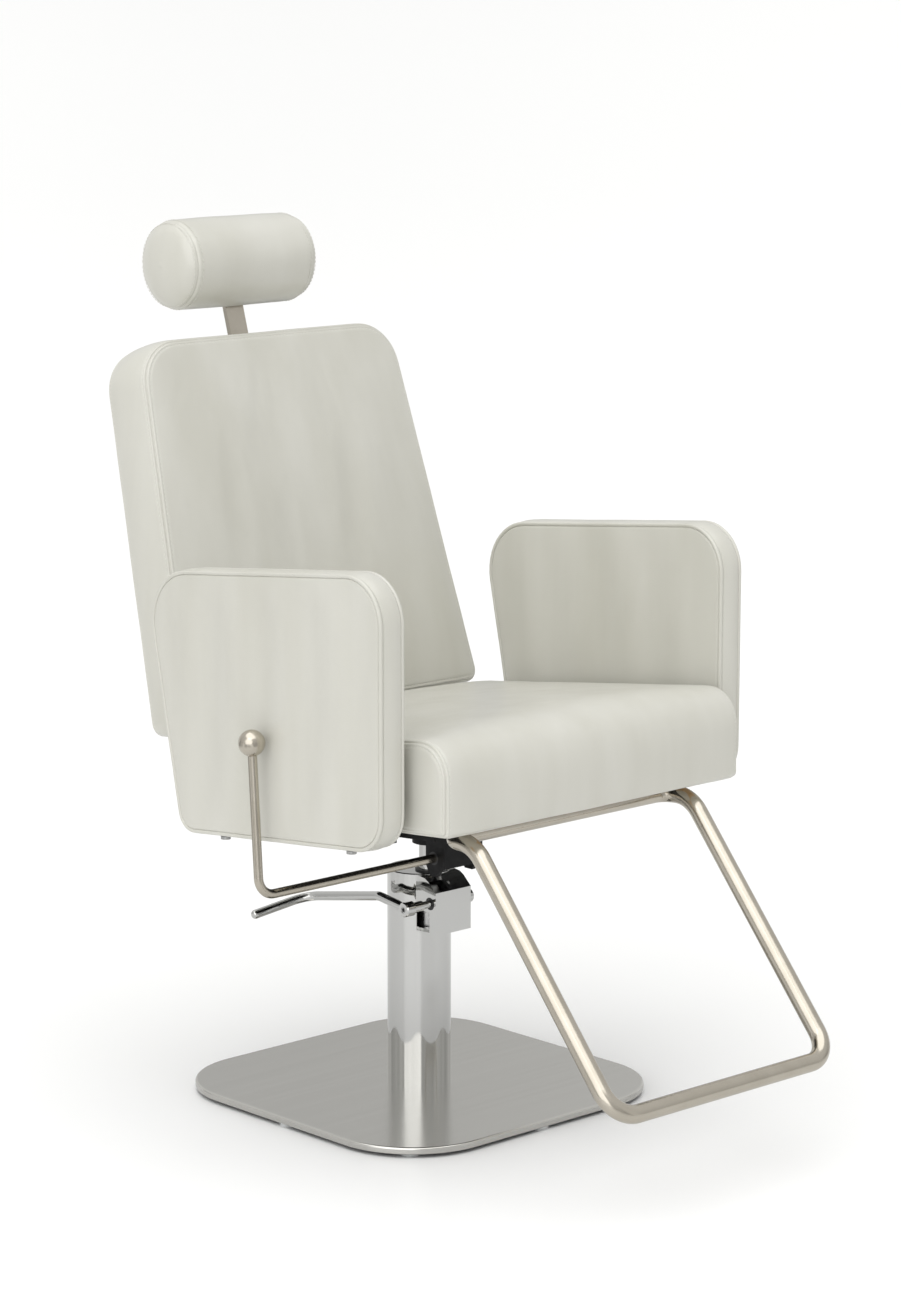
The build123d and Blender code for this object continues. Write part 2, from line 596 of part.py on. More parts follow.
LOOP_CORNER = 22.0
LOOP_KNEE = 48.0
LOOP_FOOT_BEND = 38.0
SADDLE_HALF = 16.0
SADDLE_HALF_HEIGHT = 8.0
knee_y = LOOP_FOOT_Y + (LOOP_TOP_Z - LOOP_FOOT_Z) * math.tan(math.radians(LOOP_LEG_LEAN))
tube_rear = (seat_v(LOOP_TOP_Y), seat_v(FRONT_BAR[0]))
with BuildPart() as footrest_loop:
    with BuildLine() as loop_path:
        FilletPolyline(
            (0, LOOP_TOP_Y, LOOP_TOP_Z),
            (LOOP_HALF_WIDTH, LOOP_TOP_Y, LOOP_TOP_Z),
            (LOOP_HALF_WIDTH, knee_y, LOOP_TOP_Z),
            (LOOP_HALF_WIDTH, LOOP_FOOT_Y, LOOP_FOOT_Z),
            (0, LOOP_FOOT_Y, LOOP_FOOT_Z),
            radius=[LOOP_CORNER, LOOP_KNEE, LOOP_FOOT_BEND],
        )
    with BuildSketch(Plane.YZ):
        with Locations((LOOP_TOP_Y, LOOP_TOP_Z)):
            Circle(TUBE_RADIUS)
            Circle(TUBE_RADIUS - TUBE_WALL, mode=Mode.SUBTRACT)
    sweep()
    mirror(about=Plane.YZ)
    for x in SADDLE_XS:
        rod(SADDLE_PLANE, (x, loop_drop), SADDLE_BOLT_RADIUS, *tube_rear, Mode.SUBTRACT)
finish(footrest_loop, "footrest_loop")

with BuildPart() as footrest_saddles:
    for x in SADDLE_XS:
        slab(
            SEAT_PLANE,
            (x - SADDLE_HALF, x + SADDLE_HALF),
            tube_rear,
            (-loop_drop - SADDLE_HALF_HEIGHT, SADDLE_HALF_HEIGHT - loop_drop),
        )
        rod(Plane.YZ, (LOOP_TOP_Y, LOOP_TOP_Z), TUBE_RADIUS, x - 20, x + 20, Mode.SUBTRACT)
        rod(SADDLE_PLANE, (x, loop_drop), SADDLE_BOLT_RADIUS, *tube_rear, Mode.SUBTRACT)
finish(footrest_saddles, "footrest_saddles")

with BuildPart() as footrest_bolts:
    bolt_head = seat_v(FRONT_BAR[1])
    for x in SADDLE_XS:
        rod(SADDLE_PLANE, (x, loop_drop), SADDLE_BOLT_RADIUS, seat_v(LOOP_TOP_Y) + 4, bolt_head)
        rod(SADDLE_PLANE, (x, loop_drop), 6.0, bolt_head, bolt_head + 5)
finish(footrest_bolts, "footrest_bolts")

# ---- gas spring: rod with release head in front, cylinder sliding over it behind ----

tail_rad = math.radians(TAIL_ANGLE)
TAIL_Y = HINGE_Y + TAIL_LENGTH * math.sin(tail_rad)
TAIL_Z = HINGE_Z - TAIL_LENGTH * math.cos(tail_rad)
EYE_Z = TAIL_Z - EYE_DROP
SPRING_LENGTH = math.hypot(TAIL_Y - SPRING_FRONT_Y, EYE_Z - SPRING_FRONT_Z)
spring_rise = math.atan2(EYE_Z - SPRING_FRONT_Z, TAIL_Y - SPRING_FRONT_Y)
SPRING_PLANE = Plane(
    origin=(SPRING_X, SPRING_FRONT_Y, SPRING_FRONT_Z),
    x_dir=(1, 0, 0),
    z_dir=(0, math.cos(spring_rise), math.sin(spring_rise)),
)
ROD_RADIUS = 5.0
ROD_END = 220.0
SHELL_START = 120.0
SHELL_RADIUS = 12.0
PIVOT_RADIUS = 4.0
EYE_BORE = 6.6

with BuildPart() as gas_spring_mount:
    for low in (SPRING_X - 15, SPRING_X + 11):
        ear = [
            (-108, SPRING_FRONT_Z - 10),
            (-84, SPRING_FRONT_Z - 10),
            (-84, SPRING_FRONT_Z + 12),
            (-100.5, seat_underside(-100.5) - 24.5),
            (-119.5, seat_underside(-119.5) - 24.5),
        ]
        plate_yz(ear, low, low + 4)
    rod(Plane.YZ, (SPRING_FRONT_Y, SPRING_FRONT_Z), PIVOT_RADIUS, SPRING_X - 15, SPRING_X + 15)
    bridge_top = (seat_v(-119.5), seat_v(-100.5))
    slab(SEAT_PLANE, (SPRING_X - 15, SPRING_X + 15), bridge_top, (CROSS_BOTTOM - 4, CROSS_BOTTOM))
finish(gas_spring_mount, "gas_spring_mount")

with BuildPart() as release_head:
    slab(SPRING_PLANE, (-9, 9), (-9, 9), (-10, 14))
    fillet(release_head.edges().filter_by(Axis.X), 3.0)
    rod(
        Plane.YZ,
        (SPRING_FRONT_Y, SPRING_FRONT_Z),
        PIVOT_RADIUS + RUNNING_GAP,
        SPRING_X - 20,
        SPRING_X + 20,
        Mode.SUBTRACT,
    )
finish(release_head, "release_head")

with BuildPart() as gas_rod:
    rod(SPRING_PLANE, (0, 0), ROD_RADIUS, 14, ROD_END)
finish(gas_rod, "gas_rod")

with BuildPart() as gas_cylinder:
    rod(SPRING_PLANE, (0, 0), SHELL_RADIUS, SHELL_START, SPRING_LENGTH - 12)
    fillet(gas_cylinder.edges(), 2.0)
    rod(SPRING_PLANE, (0, 0), ROD_RADIUS + RUNNING_GAP, SHELL_START - 1, SPRING_LENGTH - 18, Mode.SUBTRACT)
finish(gas_cylinder, "gas_cylinder")

with BuildPart() as cylinder_eye:
    rod(Plane.YZ, (TAIL_Y, EYE_Z), 11.0, SPRING_X - 7, SPRING_X + 7)
    rod(SPRING_PLANE, (0, 0), 6.0, SPRING_LENGTH - 12, SPRING_LENGTH - 6)
    rod(Plane.YZ, (TAIL_Y, EYE_Z), EYE_BORE, SPRING_X - 10, SPRING_X + 10, Mode.SUBTRACT)
finish(cylinder_eye, "cylinder_eye")

# ---- back: torque tube on the hinge, tail for the gas spring, cushion round a board ----

BOARD_FRONT = -38.0
BOARD_BACK = -56.0
MOUNT_BAR = (-66.0, -30.0)
BAR_THICK = 6.0
BACK_BOLTS = [(-172, -47), (-60, -47), (60, -47), (172, -47)]


def on_back(up, behind):
    """Y and Z of a point on the back, measured up the lean and rearward from the front face."""
    y = BACK_FOOT_Y + up * math.sin(lean) + behind * math.cos(lean)
    z = BACK_FOOT_Z + up * math.cos(lean) - behind * math.sin(lean)
    return y, z


BACK_FOOT_PLANE = Plane(
    origin=(0, BACK_FOOT_Y, BACK_FOOT_Z),
    x_dir=(1, 0, 0),
    z_dir=(0, math.sin(lean), math.cos(lean)),
)

TUBE_OUTER = 13.0
with BuildPart() as torque_tube:
    rod(Plane.YZ, (HINGE_Y, HINGE_Z), TUBE_OUTER, -204, 204)
    for low in (-205, 175):
        rod(Plane.YZ, (HINGE_Y, HINGE_Z), PIN_RADIUS + RUNNING_GAP, low, low + 30, Mode.SUBTRACT)
finish(torque_tube, "torque_tube")

with BuildPart() as mount_bar:
    slab(BACK_PLANE, (-190, 190), (-BAR_THICK, 0), MOUNT_BAR)
    for x, z in BACK_BOLTS:
        rod(BACK_FOOT_PLANE, (x, -z), 3.0, -BAR_THICK, 0, Mode.SUBTRACT)
finish(mount_bar, "mount_bar")

with BuildPart() as back_uprights:
    for low in (-156, 150):
        upright = [(154, HINGE_Z), (177, HINGE_Z), on_back(-BAR_THICK, 62), on_back(-BAR_THICK, 34)]
        plate_yz(upright, low, low + 6)
    rod(Plane.YZ, (HINGE_Y, HINGE_Z), TUBE_OUTER, -204, 204, Mode.SUBTRACT)
finish(back_uprights, "back_uprights")

with BuildPart() as tail_plates:
    across = 10 * math.cos(tail_rad)
    along = 10 * math.sin(tail_rad)
    web = [
        (HINGE_Y - across, HINGE_Z - along),
        (TAIL_Y - across, TAIL_Z - along),
        (TAIL_Y + across, TAIL_Z + along),
        (HINGE_Y + across, HINGE_Z + along),
    ]
    for low in (SPRING_X - 17, SPRING_X + 13):
        plate_yz(web, low, low + 4)
        rod(Plane.YZ, (TAIL_Y, TAIL_Z), 10.0, low, low + 4)
    rod(Plane.YZ, (HINGE_Y, HINGE_Z), TUBE_OUTER, -204, 204, Mode.SUBTRACT)
    rod(Plane.YZ, (TAIL_Y, TAIL_Z), PIVOT_RADIUS, SPRING_X - 20, SPRING_X + 20, Mode.SUBTRACT)
finish(tail_plates, "tail_plates")

with BuildPart() as tail_pin:
    rod(Plane.YZ, (TAIL_Y, TAIL_Z), PIVOT_RADIUS, SPRING_X - 19, SPRING_X + 19)
finish(tail_pin, "tail_pin")


def back_outline(inset, foot, top, corner):
    """The back's tapered outline on its own plane, drawn inward by an inset."""
    slope = (BACK_HALF_FOOT - BACK_HALF_TOP) / BACK_LENGTH
    low_half = BACK_HALF_FOOT - slope * foot - inset
    high_half = BACK_HALF_FOOT - slope * top - inset
    with BuildLine() as outline:
        FilletPolyline(
            (-low_half, foot),
            (-high_half, top),
            (high_half, top),
            (low_half, foot),
            radius=[0.3 * corner, corner, corner, 0.3 * corner],
            close=True,
        )
    make_face(outline.edges())


with BuildPart() as back_board:
    with BuildSketch(BACK_PLANE.offset(BOARD_BACK)):
        back_outline(28, 0, 470, 30)
    extrude(amount=BOARD_FRONT - BOARD_BACK)
    for x, z in BACK_BOLTS:
        rod(BACK_FOOT_PLANE, (x, -z), 3.0, 0, 30, Mode.SUBTRACT)
finish(back_board, "back_board")

with BuildPart() as back_bolts:
    for x, z in BACK_BOLTS:
        rod(BACK_FOOT_PLANE, (x, -z), 3.0, -BAR_THICK, 30)
        rod(BACK_FOOT_PLANE, (x, -z), 5.5, -BAR_THICK - 4, -BAR_THICK)
finish(back_bolts, "back_bolts")

BAR_HALF_WIDTH = 15.5
BAR_HALF_THICK = 3.5
GUIDE_FOOT = 355.0
BAR_FOOT = 391.0
BAR_TOP = 650.0
BAR_LIMITS = (-BAR_BEHIND - BAR_HALF_THICK, -BAR_BEHIND + BAR_HALF_THICK)
GUIDE_LIMITS = (-74.0, BOARD_BACK)
with BuildPart() as headrest_guide:
    slab(BACK_PLANE, (-20, 20), (GUIDE_FOOT, BACK_LENGTH), GUIDE_LIMITS)
    gap = 0.1
    hollow_x = (-BAR_HALF_WIDTH - gap, BAR_HALF_WIDTH + gap)
    hollow_z = (BAR_LIMITS[0] - gap, BAR_LIMITS[1] + gap)
    slab(BACK_PLANE, hollow_x, (GUIDE_FOOT + 4, BACK_LENGTH + 1), hollow_z, Mode.SUBTRACT)
finish(headrest_guide, "headrest_guide")

with BuildPart() as back_cushion:
    with BuildSketch(BACK_PLANE.offset(-BACK_THICKNESS)):
        back_outline(0, 0, BACK_LENGTH, 64)
    extrude(amount=BACK_THICKNESS)
    slab(BACK_PLANE, (-20, 20), (GUIDE_FOOT, BACK_LENGTH + 1), GUIDE_LIMITS, Mode.SUBTRACT)
    add(back_board.part, mode=Mode.SUBTRACT)
    for x, z in BACK_BOLTS:
        rod(BACK_FOOT_PLANE, (x, -z), 3.2, -1, 31, Mode.SUBTRACT)
finish(back_cushion, "back_cushion")

# ---- headrest: roll round a board on a flat bar ----

ROLL_BOARD_X = (-100, 100)
ROLL_BOARD_Y = (600, 655)
ROLL_BOARD_Z = (-63.0, -48.0)
ROLL_SCREWS = [(0, 612), (0, 638)]
with BuildPart() as headrest_bar:
    slab(BACK_PLANE, (-BAR_HALF_WIDTH, BAR_HALF_WIDTH), (BAR_FOOT, BAR_TOP), BAR_LIMITS)
    for place in ROLL_SCREWS:
        rod(BACK_PLANE, place, 3.0, *BAR_LIMITS, Mode.SUBTRACT)
finish(headrest_bar, "headrest_bar")

with BuildPart() as headrest_board:
    slab(BACK_PLANE, ROLL_BOARD_X, ROLL_BOARD_Y, ROLL_BOARD_Z)
    for place in ROLL_SCREWS:
        rod(BACK_PLANE, place, 3.0, ROLL_BOARD_Z[0], ROLL_BOARD_Z[0] + 12, Mode.SUBTRACT)
finish(headrest_board, "headrest_board")

with BuildPart() as headrest_screws:
    for place in ROLL_SCREWS:
        rod(BACK_PLANE, place, 3.0, BAR_LIMITS[0], ROLL_BOARD_Z[0] + 12)
finish(headrest_screws, "headrest_screws")

with BuildPart() as headrest_roll:
    with BuildSketch(Plane.YZ.offset(-ROLL_HALF_LENGTH)):
        with Locations(on_back(ROLL_UP, ROLL_BEHIND)):
            Circle(ROLL_RADIUS)
    extrude(amount=2 * ROLL_HALF_LENGTH)
    fillet(headrest_roll.edges().filter_by(GeomType.CIRCLE), 16)
    slab(BACK_PLANE, ROLL_BOARD_X, ROLL_BOARD_Y, ROLL_BOARD_Z, Mode.SUBTRACT)
    slot_x = (-BAR_HALF_WIDTH, BAR_HALF_WIDTH)
    slab(BACK_PLANE, slot_x, (BAR_TOP - 100, BAR_TOP), BAR_LIMITS, Mode.SUBTRACT)
finish(headrest_roll, "headrest_roll")
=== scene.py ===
import json
import math

import bmesh
import bpy
import numpy as np
from mathutils import Matrix, Vector, noise


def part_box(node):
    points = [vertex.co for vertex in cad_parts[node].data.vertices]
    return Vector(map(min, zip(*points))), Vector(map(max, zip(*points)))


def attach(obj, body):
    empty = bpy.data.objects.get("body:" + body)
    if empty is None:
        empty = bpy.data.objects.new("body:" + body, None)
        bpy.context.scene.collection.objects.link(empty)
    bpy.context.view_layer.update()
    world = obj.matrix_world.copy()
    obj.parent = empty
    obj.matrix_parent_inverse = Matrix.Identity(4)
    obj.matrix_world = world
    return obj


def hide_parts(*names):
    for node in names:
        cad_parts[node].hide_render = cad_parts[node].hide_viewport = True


# Salon chair: upholstery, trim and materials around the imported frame. Metres, +Z up, the chair faces -Y.
# The seat and back covers are boxed cushions, filled with air by a cloth simulation. The arms and the
# headrest roll are shaped directly, without one.

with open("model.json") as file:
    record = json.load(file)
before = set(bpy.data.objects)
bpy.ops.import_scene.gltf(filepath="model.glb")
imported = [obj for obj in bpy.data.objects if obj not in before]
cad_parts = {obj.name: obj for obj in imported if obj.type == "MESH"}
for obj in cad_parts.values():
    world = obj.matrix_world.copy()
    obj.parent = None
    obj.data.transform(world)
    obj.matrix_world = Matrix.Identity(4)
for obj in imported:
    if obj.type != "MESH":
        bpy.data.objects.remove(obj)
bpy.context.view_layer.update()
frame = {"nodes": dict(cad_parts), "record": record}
MM = 0.001


# ---- camera, light and floor ----

CAMERA_PLACE = (-3.3895, -3.6936, 1.5471)
CAMERA_AZIMUTH = math.radians(-43.02)
CAMERA_PITCH = math.radians(10.73)
CAMERA_ROLL = math.radians(0.05)
FOCAL_MM = 105.43


def make_camera():
    data = bpy.data.cameras.new("camera")
    data.lens = FOCAL_MM
    data.sensor_width = 36.0
    data.clip_end = 500.0
    camera = bpy.data.objects.new("camera", data)
    bpy.context.collection.objects.link(camera)
    turn = Matrix.Rotation(CAMERA_AZIMUTH, 4, "Z") @ Matrix.Rotation(math.pi / 2 - CAMERA_PITCH, 4, "X")
    turn = turn @ Matrix.Rotation(CAMERA_ROLL, 4, "Z")
    camera.matrix_world = Matrix.Translation(CAMERA_PLACE) @ turn
    bpy.context.scene.camera = camera


def make_sun(name, direction, strength, spread):
    """A soft distant light that shines along a direction. Its spread is in degrees."""
    data = bpy.data.lights.new(name, "SUN")
    data.energy = strength
    data.angle = math.radians(spread)
    sun = bpy.data.objects.new(name, data)
    sun.rotation_euler = Vector(direction).to_track_quat("-Z", "Y").to_euler()
    bpy.context.collection.objects.link(sun)


# Name, direction, strength and spread in degrees.
SUNS = (
    ("softbox_above", (0.15, 0.10, -1.0), 1.42, 75),
    ("softbox_left", (0.9, 0.38, -0.35), 0.95, 60),
)


def link_math(nodes, links, operation, *values):
    """A math node fed by sockets or numbers."""
    node = nodes.new("ShaderNodeMath")
    node.operation = operation
    for socket, value in zip(node.inputs, values):
        if isinstance(value, (int, float)):
            socket.default_value = value
        else:
            links.new(value, socket)
    return node.outputs[0]


# The studio's panels as waves: how many round the compass, their shift and their share.
BAND_WAVES = ((5, 0.6, 0.45), (11, 1.9, 0.35), (19, 0.3, 0.2))
BAND_SWING = 0.42


def studio_bands(nodes, links, vector, middle):
    """Brighter and darker panels round the studio, by the compass direction of a vector."""
    split = nodes.new("ShaderNodeSeparateXYZ")
    links.new(vector, split.inputs[0])
    turn = link_math(nodes, links, "ARCTAN2", split.outputs["Y"], split.outputs["X"])
    total = middle
    for count, shift, share in BAND_WAVES:
        angle = link_math(nodes, links, "MULTIPLY_ADD", turn, float(count), shift)
        wave = link_math(nodes, links, "SINE", angle)
        total = link_math(nodes, links, "MULTIPLY_ADD", wave, BAND_SWING * share, total)
    return total, split


WALL_BANDS = 0.95
WALL_SHARE = 0.66
CEILING_LEVEL = 0.74
BANDS_END_HEIGHT = 0.6
BACKDROP_TINT = (1.0, 1.0, 0.985, 1.0)


def make_world():
    """A white studio, with panels near the horizon that only its light and reflections show."""
    world = bpy.data.worlds.new("studio")
    bpy.context.scene.world = world
    world.use_nodes = True
    nodes, links = world.node_tree.nodes, world.node_tree.links
    back = nodes["Background"]
    place = nodes.new("ShaderNodeTexCoord")
    bands, split = studio_bands(nodes, links, place.outputs["Generated"], WALL_BANDS)
    fade = nodes.new("ShaderNodeMapRange")
    fade.inputs["From Max"].default_value = BANDS_END_HEIGHT
    links.new(split.outputs["Z"], fade.inputs["Value"])
    level = nodes.new("ShaderNodeMix")
    links.new(fade.outputs["Result"], level.inputs["Factor"])
    links.new(link_math(nodes, links, "MULTIPLY", bands, WALL_SHARE), level.inputs["A"])
    level.inputs["B"].default_value = CEILING_LEVEL
    light_path = nodes.new("ShaderNodeLightPath")
    seen = nodes.new("ShaderNodeMix")
    seen.inputs["B"].default_value = 1.0
    links.new(light_path.outputs["Is Camera Ray"], seen.inputs["Factor"])
    links.new(level.outputs["Result"], seen.inputs["A"])
    links.new(seen.outputs["Result"], back.inputs["Strength"])
    back.inputs["Color"].default_value = BACKDROP_TINT


FLOOR_WHITE = 0.95
FLOOR_HALF_SIDE = 150.0
FLOOR_ROUGHNESS = 0.32
# Floor colours that only reflections show: painted shade near the chair and painted bands far off, standing
# in for a studio's dim edges and panels.
PAINTED_SHADE_REFLECTED_NEAR = 0.72
PAINTED_BANDS_REFLECTED_FAR = 0.46
# Squared distances from the column, between which the painted shade of the reflected floor goes from near to
# far.
PAINTED_SHADE_REFLECTED_RANGE = (1.2, 4.0)


def make_floor():
    """A white floor. Seen in a shiny surface its colour is painted darker with distance, a painted shade that
    stands in for a studio's dim edges, with painted bands for its panels.
    """
    mesh = bpy.data.meshes.new("floor")
    corners = ((-1, -1), (1, -1), (1, 1), (-1, 1))
    points = [(x * FLOOR_HALF_SIDE, y * FLOOR_HALF_SIDE, 0) for x, y in corners]
    mesh.from_pydata(points, [], [(0, 1, 2, 3)])
    floor = bpy.data.objects.new("floor", mesh)
    bpy.context.collection.objects.link(floor)
    sheet = Shader("floor_white_with_painted_reflection", (FLOOR_WHITE,) * 3, FLOOR_ROUGHNESS)
    sheet.set("Specular IOR Level", 0.25)
    nodes, links = sheet.nodes, sheet.links
    # Painted bands, darker and lighter by compass direction, which the floor shows in reflections as the
    # studio's panels.
    bands, split = studio_bands(nodes, links, sheet.place, PAINTED_BANDS_REFLECTED_FAR)
    across = link_math(nodes, links, "MULTIPLY", split.outputs["X"], split.outputs["X"])
    away = link_math(nodes, links, "MULTIPLY_ADD", split.outputs["Y"], split.outputs["Y"], across)
    distance = nodes.new("ShaderNodeMapRange")
    distance.inputs["From Min"].default_value = PAINTED_SHADE_REFLECTED_RANGE[0]
    distance.inputs["From Max"].default_value = PAINTED_SHADE_REFLECTED_RANGE[1]
    links.new(away, distance.inputs["Value"])
    level = nodes.new("ShaderNodeMix")
    links.new(distance.outputs["Result"], level.inputs["Factor"])
    level.inputs["A"].default_value = PAINTED_SHADE_REFLECTED_NEAR
    links.new(bands, level.inputs["B"])
    # Only glossy rays see this painted shade and these painted bands. The camera sees the plain white floor.
    light_path = nodes.new("ShaderNodeLightPath")
    seen = nodes.new("ShaderNodeMix")
    links.new(light_path.outputs["Is Glossy Ray"], seen.inputs["Factor"])
    seen.inputs["A"].default_value = FLOOR_WHITE
    links.new(level.outputs["Result"], seen.inputs["B"])
    grey = nodes.new("ShaderNodeCombineColor")
    for channel in grey.inputs:
        if channel.name in ("Red", "Green", "Blue"):
            links.new(seen.outputs["Result"], channel)
    links.new(grey.outputs[0], sheet.shader.inputs["Base Color"])
    mesh.materials.append(sheet.material)


# ---- materials ----

NOISE_RANGE = (0.3, 0.7)


class Shader:
    """A Principled material with the few node chains that this chair needs."""

    def __init__(self, name, color, roughness=0.5, metallic=0.0):
        self.material = bpy.data.materials.new(name)
        self.material.use_nodes = True
        self.nodes = self.material.node_tree.nodes
        self.links = self.material.node_tree.links
        self.shader = self.nodes["Principled BSDF"]
        self.set("Base Color", (*color, 1.0))
        self.set("Roughness", roughness)
        self.set("Metallic", metallic)
        self.place = self.nodes.new("ShaderNodeTexCoord").outputs["Object"]

    def set(self, socket, value):
        self.shader.inputs[socket].default_value = value

    def stretched(self, scale):
        """Object coordinates, scaled on each axis."""
        mapping = self.nodes.new("ShaderNodeMapping")
        mapping.inputs["Scale"].default_value = scale
        self.links.new(self.place, mapping.inputs["Vector"])
        return mapping.outputs["Vector"]

    def noise(self, scale, detail=3.0, vector=None, rough=0.5):
        node = self.nodes.new("ShaderNodeTexNoise")
        node.inputs["Scale"].default_value = scale
        node.inputs["Detail"].default_value = detail
        node.inputs["Roughness"].default_value = rough
        self.links.new(vector if vector else self.place, node.inputs["Vector"])
        return node.outputs["Fac"]

    def cells(self, scale):
        """Voronoi cells, whose edges read as the grain of a hide."""
        node = self.nodes.new("ShaderNodeTexVoronoi")
        node.feature = "SMOOTH_F1"
        node.inputs["Scale"].default_value = scale
        node.inputs["Smoothness"].default_value = 0.6
        self.links.new(self.place, node.inputs["Vector"])
        return node.outputs["Distance"]

    def spread(self, value, low, high):
        """Maps a noise value, which mostly lies in NOISE_RANGE, to a range."""
        node = self.nodes.new("ShaderNodeMapRange")
        node.inputs["From Min"].default_value = NOISE_RANGE[0]
        node.inputs["From Max"].default_value = NOISE_RANGE[1]
        node.inputs["To Min"].default_value = low
        node.inputs["To Max"].default_value = high
        self.links.new(value, node.inputs["Value"])
        return node.outputs["Result"]

    def rough(self, value, low, high):
        self.links.new(self.spread(value, low, high), self.shader.inputs["Roughness"])

    def tint(self, value, dark, light):
        """Varies the base colour between two tints."""
        mix = self.nodes.new("ShaderNodeMix")
        mix.data_type = "RGBA"
        mix.inputs["A"].default_value = (*dark, 1.0)
        mix.inputs["B"].default_value = (*light, 1.0)
        self.links.new(self.spread(value, 0.0, 1.0), mix.inputs["Factor"])
        self.links.new(mix.outputs["Result"], self.shader.inputs["Base Color"])

    def bump(self, *layers):
        """Stacks bump layers, each a height output with its depth in millimetres."""
        normal = None
        for height, depth in layers:
            node = self.nodes.new("ShaderNodeBump")
            node.inputs["Strength"].default_value = 1.0
            node.inputs["Distance"].default_value = depth * MM
            self.links.new(height, node.inputs["Height"])
            if normal:
                self.links.new(normal, node.inputs["Normal"])
            normal = node.outputs["Normal"]
        self.links.new(normal, self.shader.inputs["Normal"])


def leatherette():
    m = Shader("pearl_leatherette", (0.58, 0.575, 0.52), 0.38)
    m.set("Specular IOR Level", 0.7)
    m.set("Sheen Weight", 0.08)
    m.set("Sheen Roughness", 0.4)
    m.set("Coat Weight", 0.5)
    m.set("Coat Roughness", 0.22)
    clouds = m.noise(1.0, 3.0, m.stretched((13.0, 13.0, 1.8)))
    m.tint(clouds, (0.535, 0.527, 0.470), (0.590, 0.583, 0.532))
    m.rough(m.noise(26.0, 4.0), 0.33, 0.43)
    grain = m.cells(1150.0)
    creases = m.noise(420.0, 5.0, rough=0.65)
    hide = m.noise(55.0, 3.0)
    m.bump((grain, 0.10), (creases, 0.10), (hide, 0.22))
    return m.material


def thread():
    m = Shader("thread", (0.66, 0.65, 0.60), 0.6)
    m.tint(m.noise(900.0, 2.0), (0.58, 0.57, 0.52), (0.70, 0.69, 0.64))
    twist = m.noise(2600.0, 2.0)
    m.bump((twist, 0.08))
    return m.material


def brushed_stainless():
    m = Shader("brushed_stainless", (0.62, 0.61, 0.58), 0.18, 1.0)
    grain = m.noise(1.0, 4.0, m.stretched((6.0, 1500.0, 400.0)))
    m.tint(m.noise(1.0, 3.0, m.stretched((1.5, 90.0, 30.0))), (0.61, 0.60, 0.57), (0.63, 0.62, 0.59))
    m.rough(grain, 0.15, 0.21)
    m.bump((grain, 0.002))
    return m.material


def brushed_nickel():
    m = Shader("brushed_nickel", (0.53, 0.49, 0.42), 0.2, 1.0)
    grain = m.noise(900.0, 4.0, rough=0.6)
    m.tint(m.noise(35.0, 3.0), (0.51, 0.47, 0.40), (0.55, 0.51, 0.44))
    m.rough(grain, 0.17, 0.24)
    m.bump((grain, 0.003))
    return m.material


def mirror_chrome():
    m = Shader("mirror_chrome", (0.58, 0.58, 0.57), 0.05, 1.0)
    m.rough(m.noise(45.0, 5.0, rough=0.7), 0.03, 0.085)
    m.bump((m.noise(14.0, 2.0), 0.02))
    return m.material


def black_steel():
    m = Shader("black_steel", (0.006, 0.006, 0.0065), 0.5)
    m.set("Specular IOR Level", 0.25)
    m.tint(m.noise(60.0, 4.0), (0.004, 0.004, 0.0045), (0.009, 0.009, 0.0095))
    m.rough(m.noise(120.0, 4.0), 0.42, 0.62)
    m.bump((m.noise(700.0, 4.0), 0.05))
    return m.material


def zinc_steel():
    m = Shader("zinc_steel", (0.50, 0.50, 0.50), 0.35, 1.0)
    m.tint(m.noise(220.0, 4.0), (0.42, 0.42, 0.42), (0.56, 0.56, 0.55))
    m.rough(m.noise(350.0, 4.0), 0.25, 0.45)
    m.bump((m.noise(800.0, 3.0), 0.02))
    return m.material


def black_plastic():
    m = Shader("black_plastic", (0.02, 0.02, 0.02), 0.45)
    m.tint(m.noise(90.0, 3.0), (0.015, 0.015, 0.016), (0.03, 0.03, 0.031))
    m.rough(m.noise(300.0, 3.0), 0.38, 0.52)
    m.bump((m.noise(1400.0, 3.0), 0.02))
    return m.material


def plywood():
    m = Shader("plywood", (0.55, 0.38, 0.22), 0.6)
    streaks = m.noise(1.0, 5.0, m.stretched((12.0, 160.0, 160.0)), rough=0.6)
    m.tint(streaks, (0.42, 0.28, 0.15), (0.66, 0.49, 0.30))
    m.rough(streaks, 0.5, 0.7)
    m.bump((streaks, 0.08))
    return m.material


def black_cloth():
    m = Shader("black_cloth", (0.012, 0.012, 0.012), 0.9)
    m.set("Sheen Weight", 0.2)
    fibres = m.noise(1.0, 3.0, m.stretched((900.0, 120.0, 300.0)), rough=0.7)
    m.tint(m.noise(500.0, 3.0), (0.008, 0.008, 0.008), (0.03, 0.03, 0.03))
    m.bump((fibres, 0.2))
    return m.material


def clear_plastic():
    m = Shader("clear_plastic", (0.88, 0.90, 0.89), 0.18)
    m.set("Transmission Weight", 0.2)
    m.set("IOR", 1.49)
    m.rough(m.noise(260.0, 3.0), 0.12, 0.25)
    m.bump((m.noise(300.0, 3.0), 0.05))
    return m.material


MAKERS = (
    leatherette,
    brushed_stainless,
    brushed_nickel,
    mirror_chrome,
    black_steel,
    zinc_steel,
    black_plastic,
    plywood,
    black_cloth,
    clear_plastic,
)


def dress_frame(materials):
    """Gives each CAD node the material of its slot."""
    for row in frame["record"]["subparts"]:
        node = frame["nodes"][row["node"]]
        for slot in node.material_slots:
            slot.material = materials[row["material_slot"]]


# ---- meshes ----


def finish_mesh(name, mesh, material):
    """Turns a bmesh into a smooth object in the scene, with its faces turned outward."""
    bmesh.ops.recalc_face_normals(mesh, faces=mesh.faces)
    data = bpy.data.meshes.new(name)
    mesh.to_mesh(data)
    mesh.free()
    data.materials.append(material)
    data.shade_smooth()
    piece = bpy.data.objects.new(name, data)
    bpy.context.collection.objects.link(piece)
    return piece


# ---- rounded outlines ----

LEAST_RADIUS = 1.5 * MM


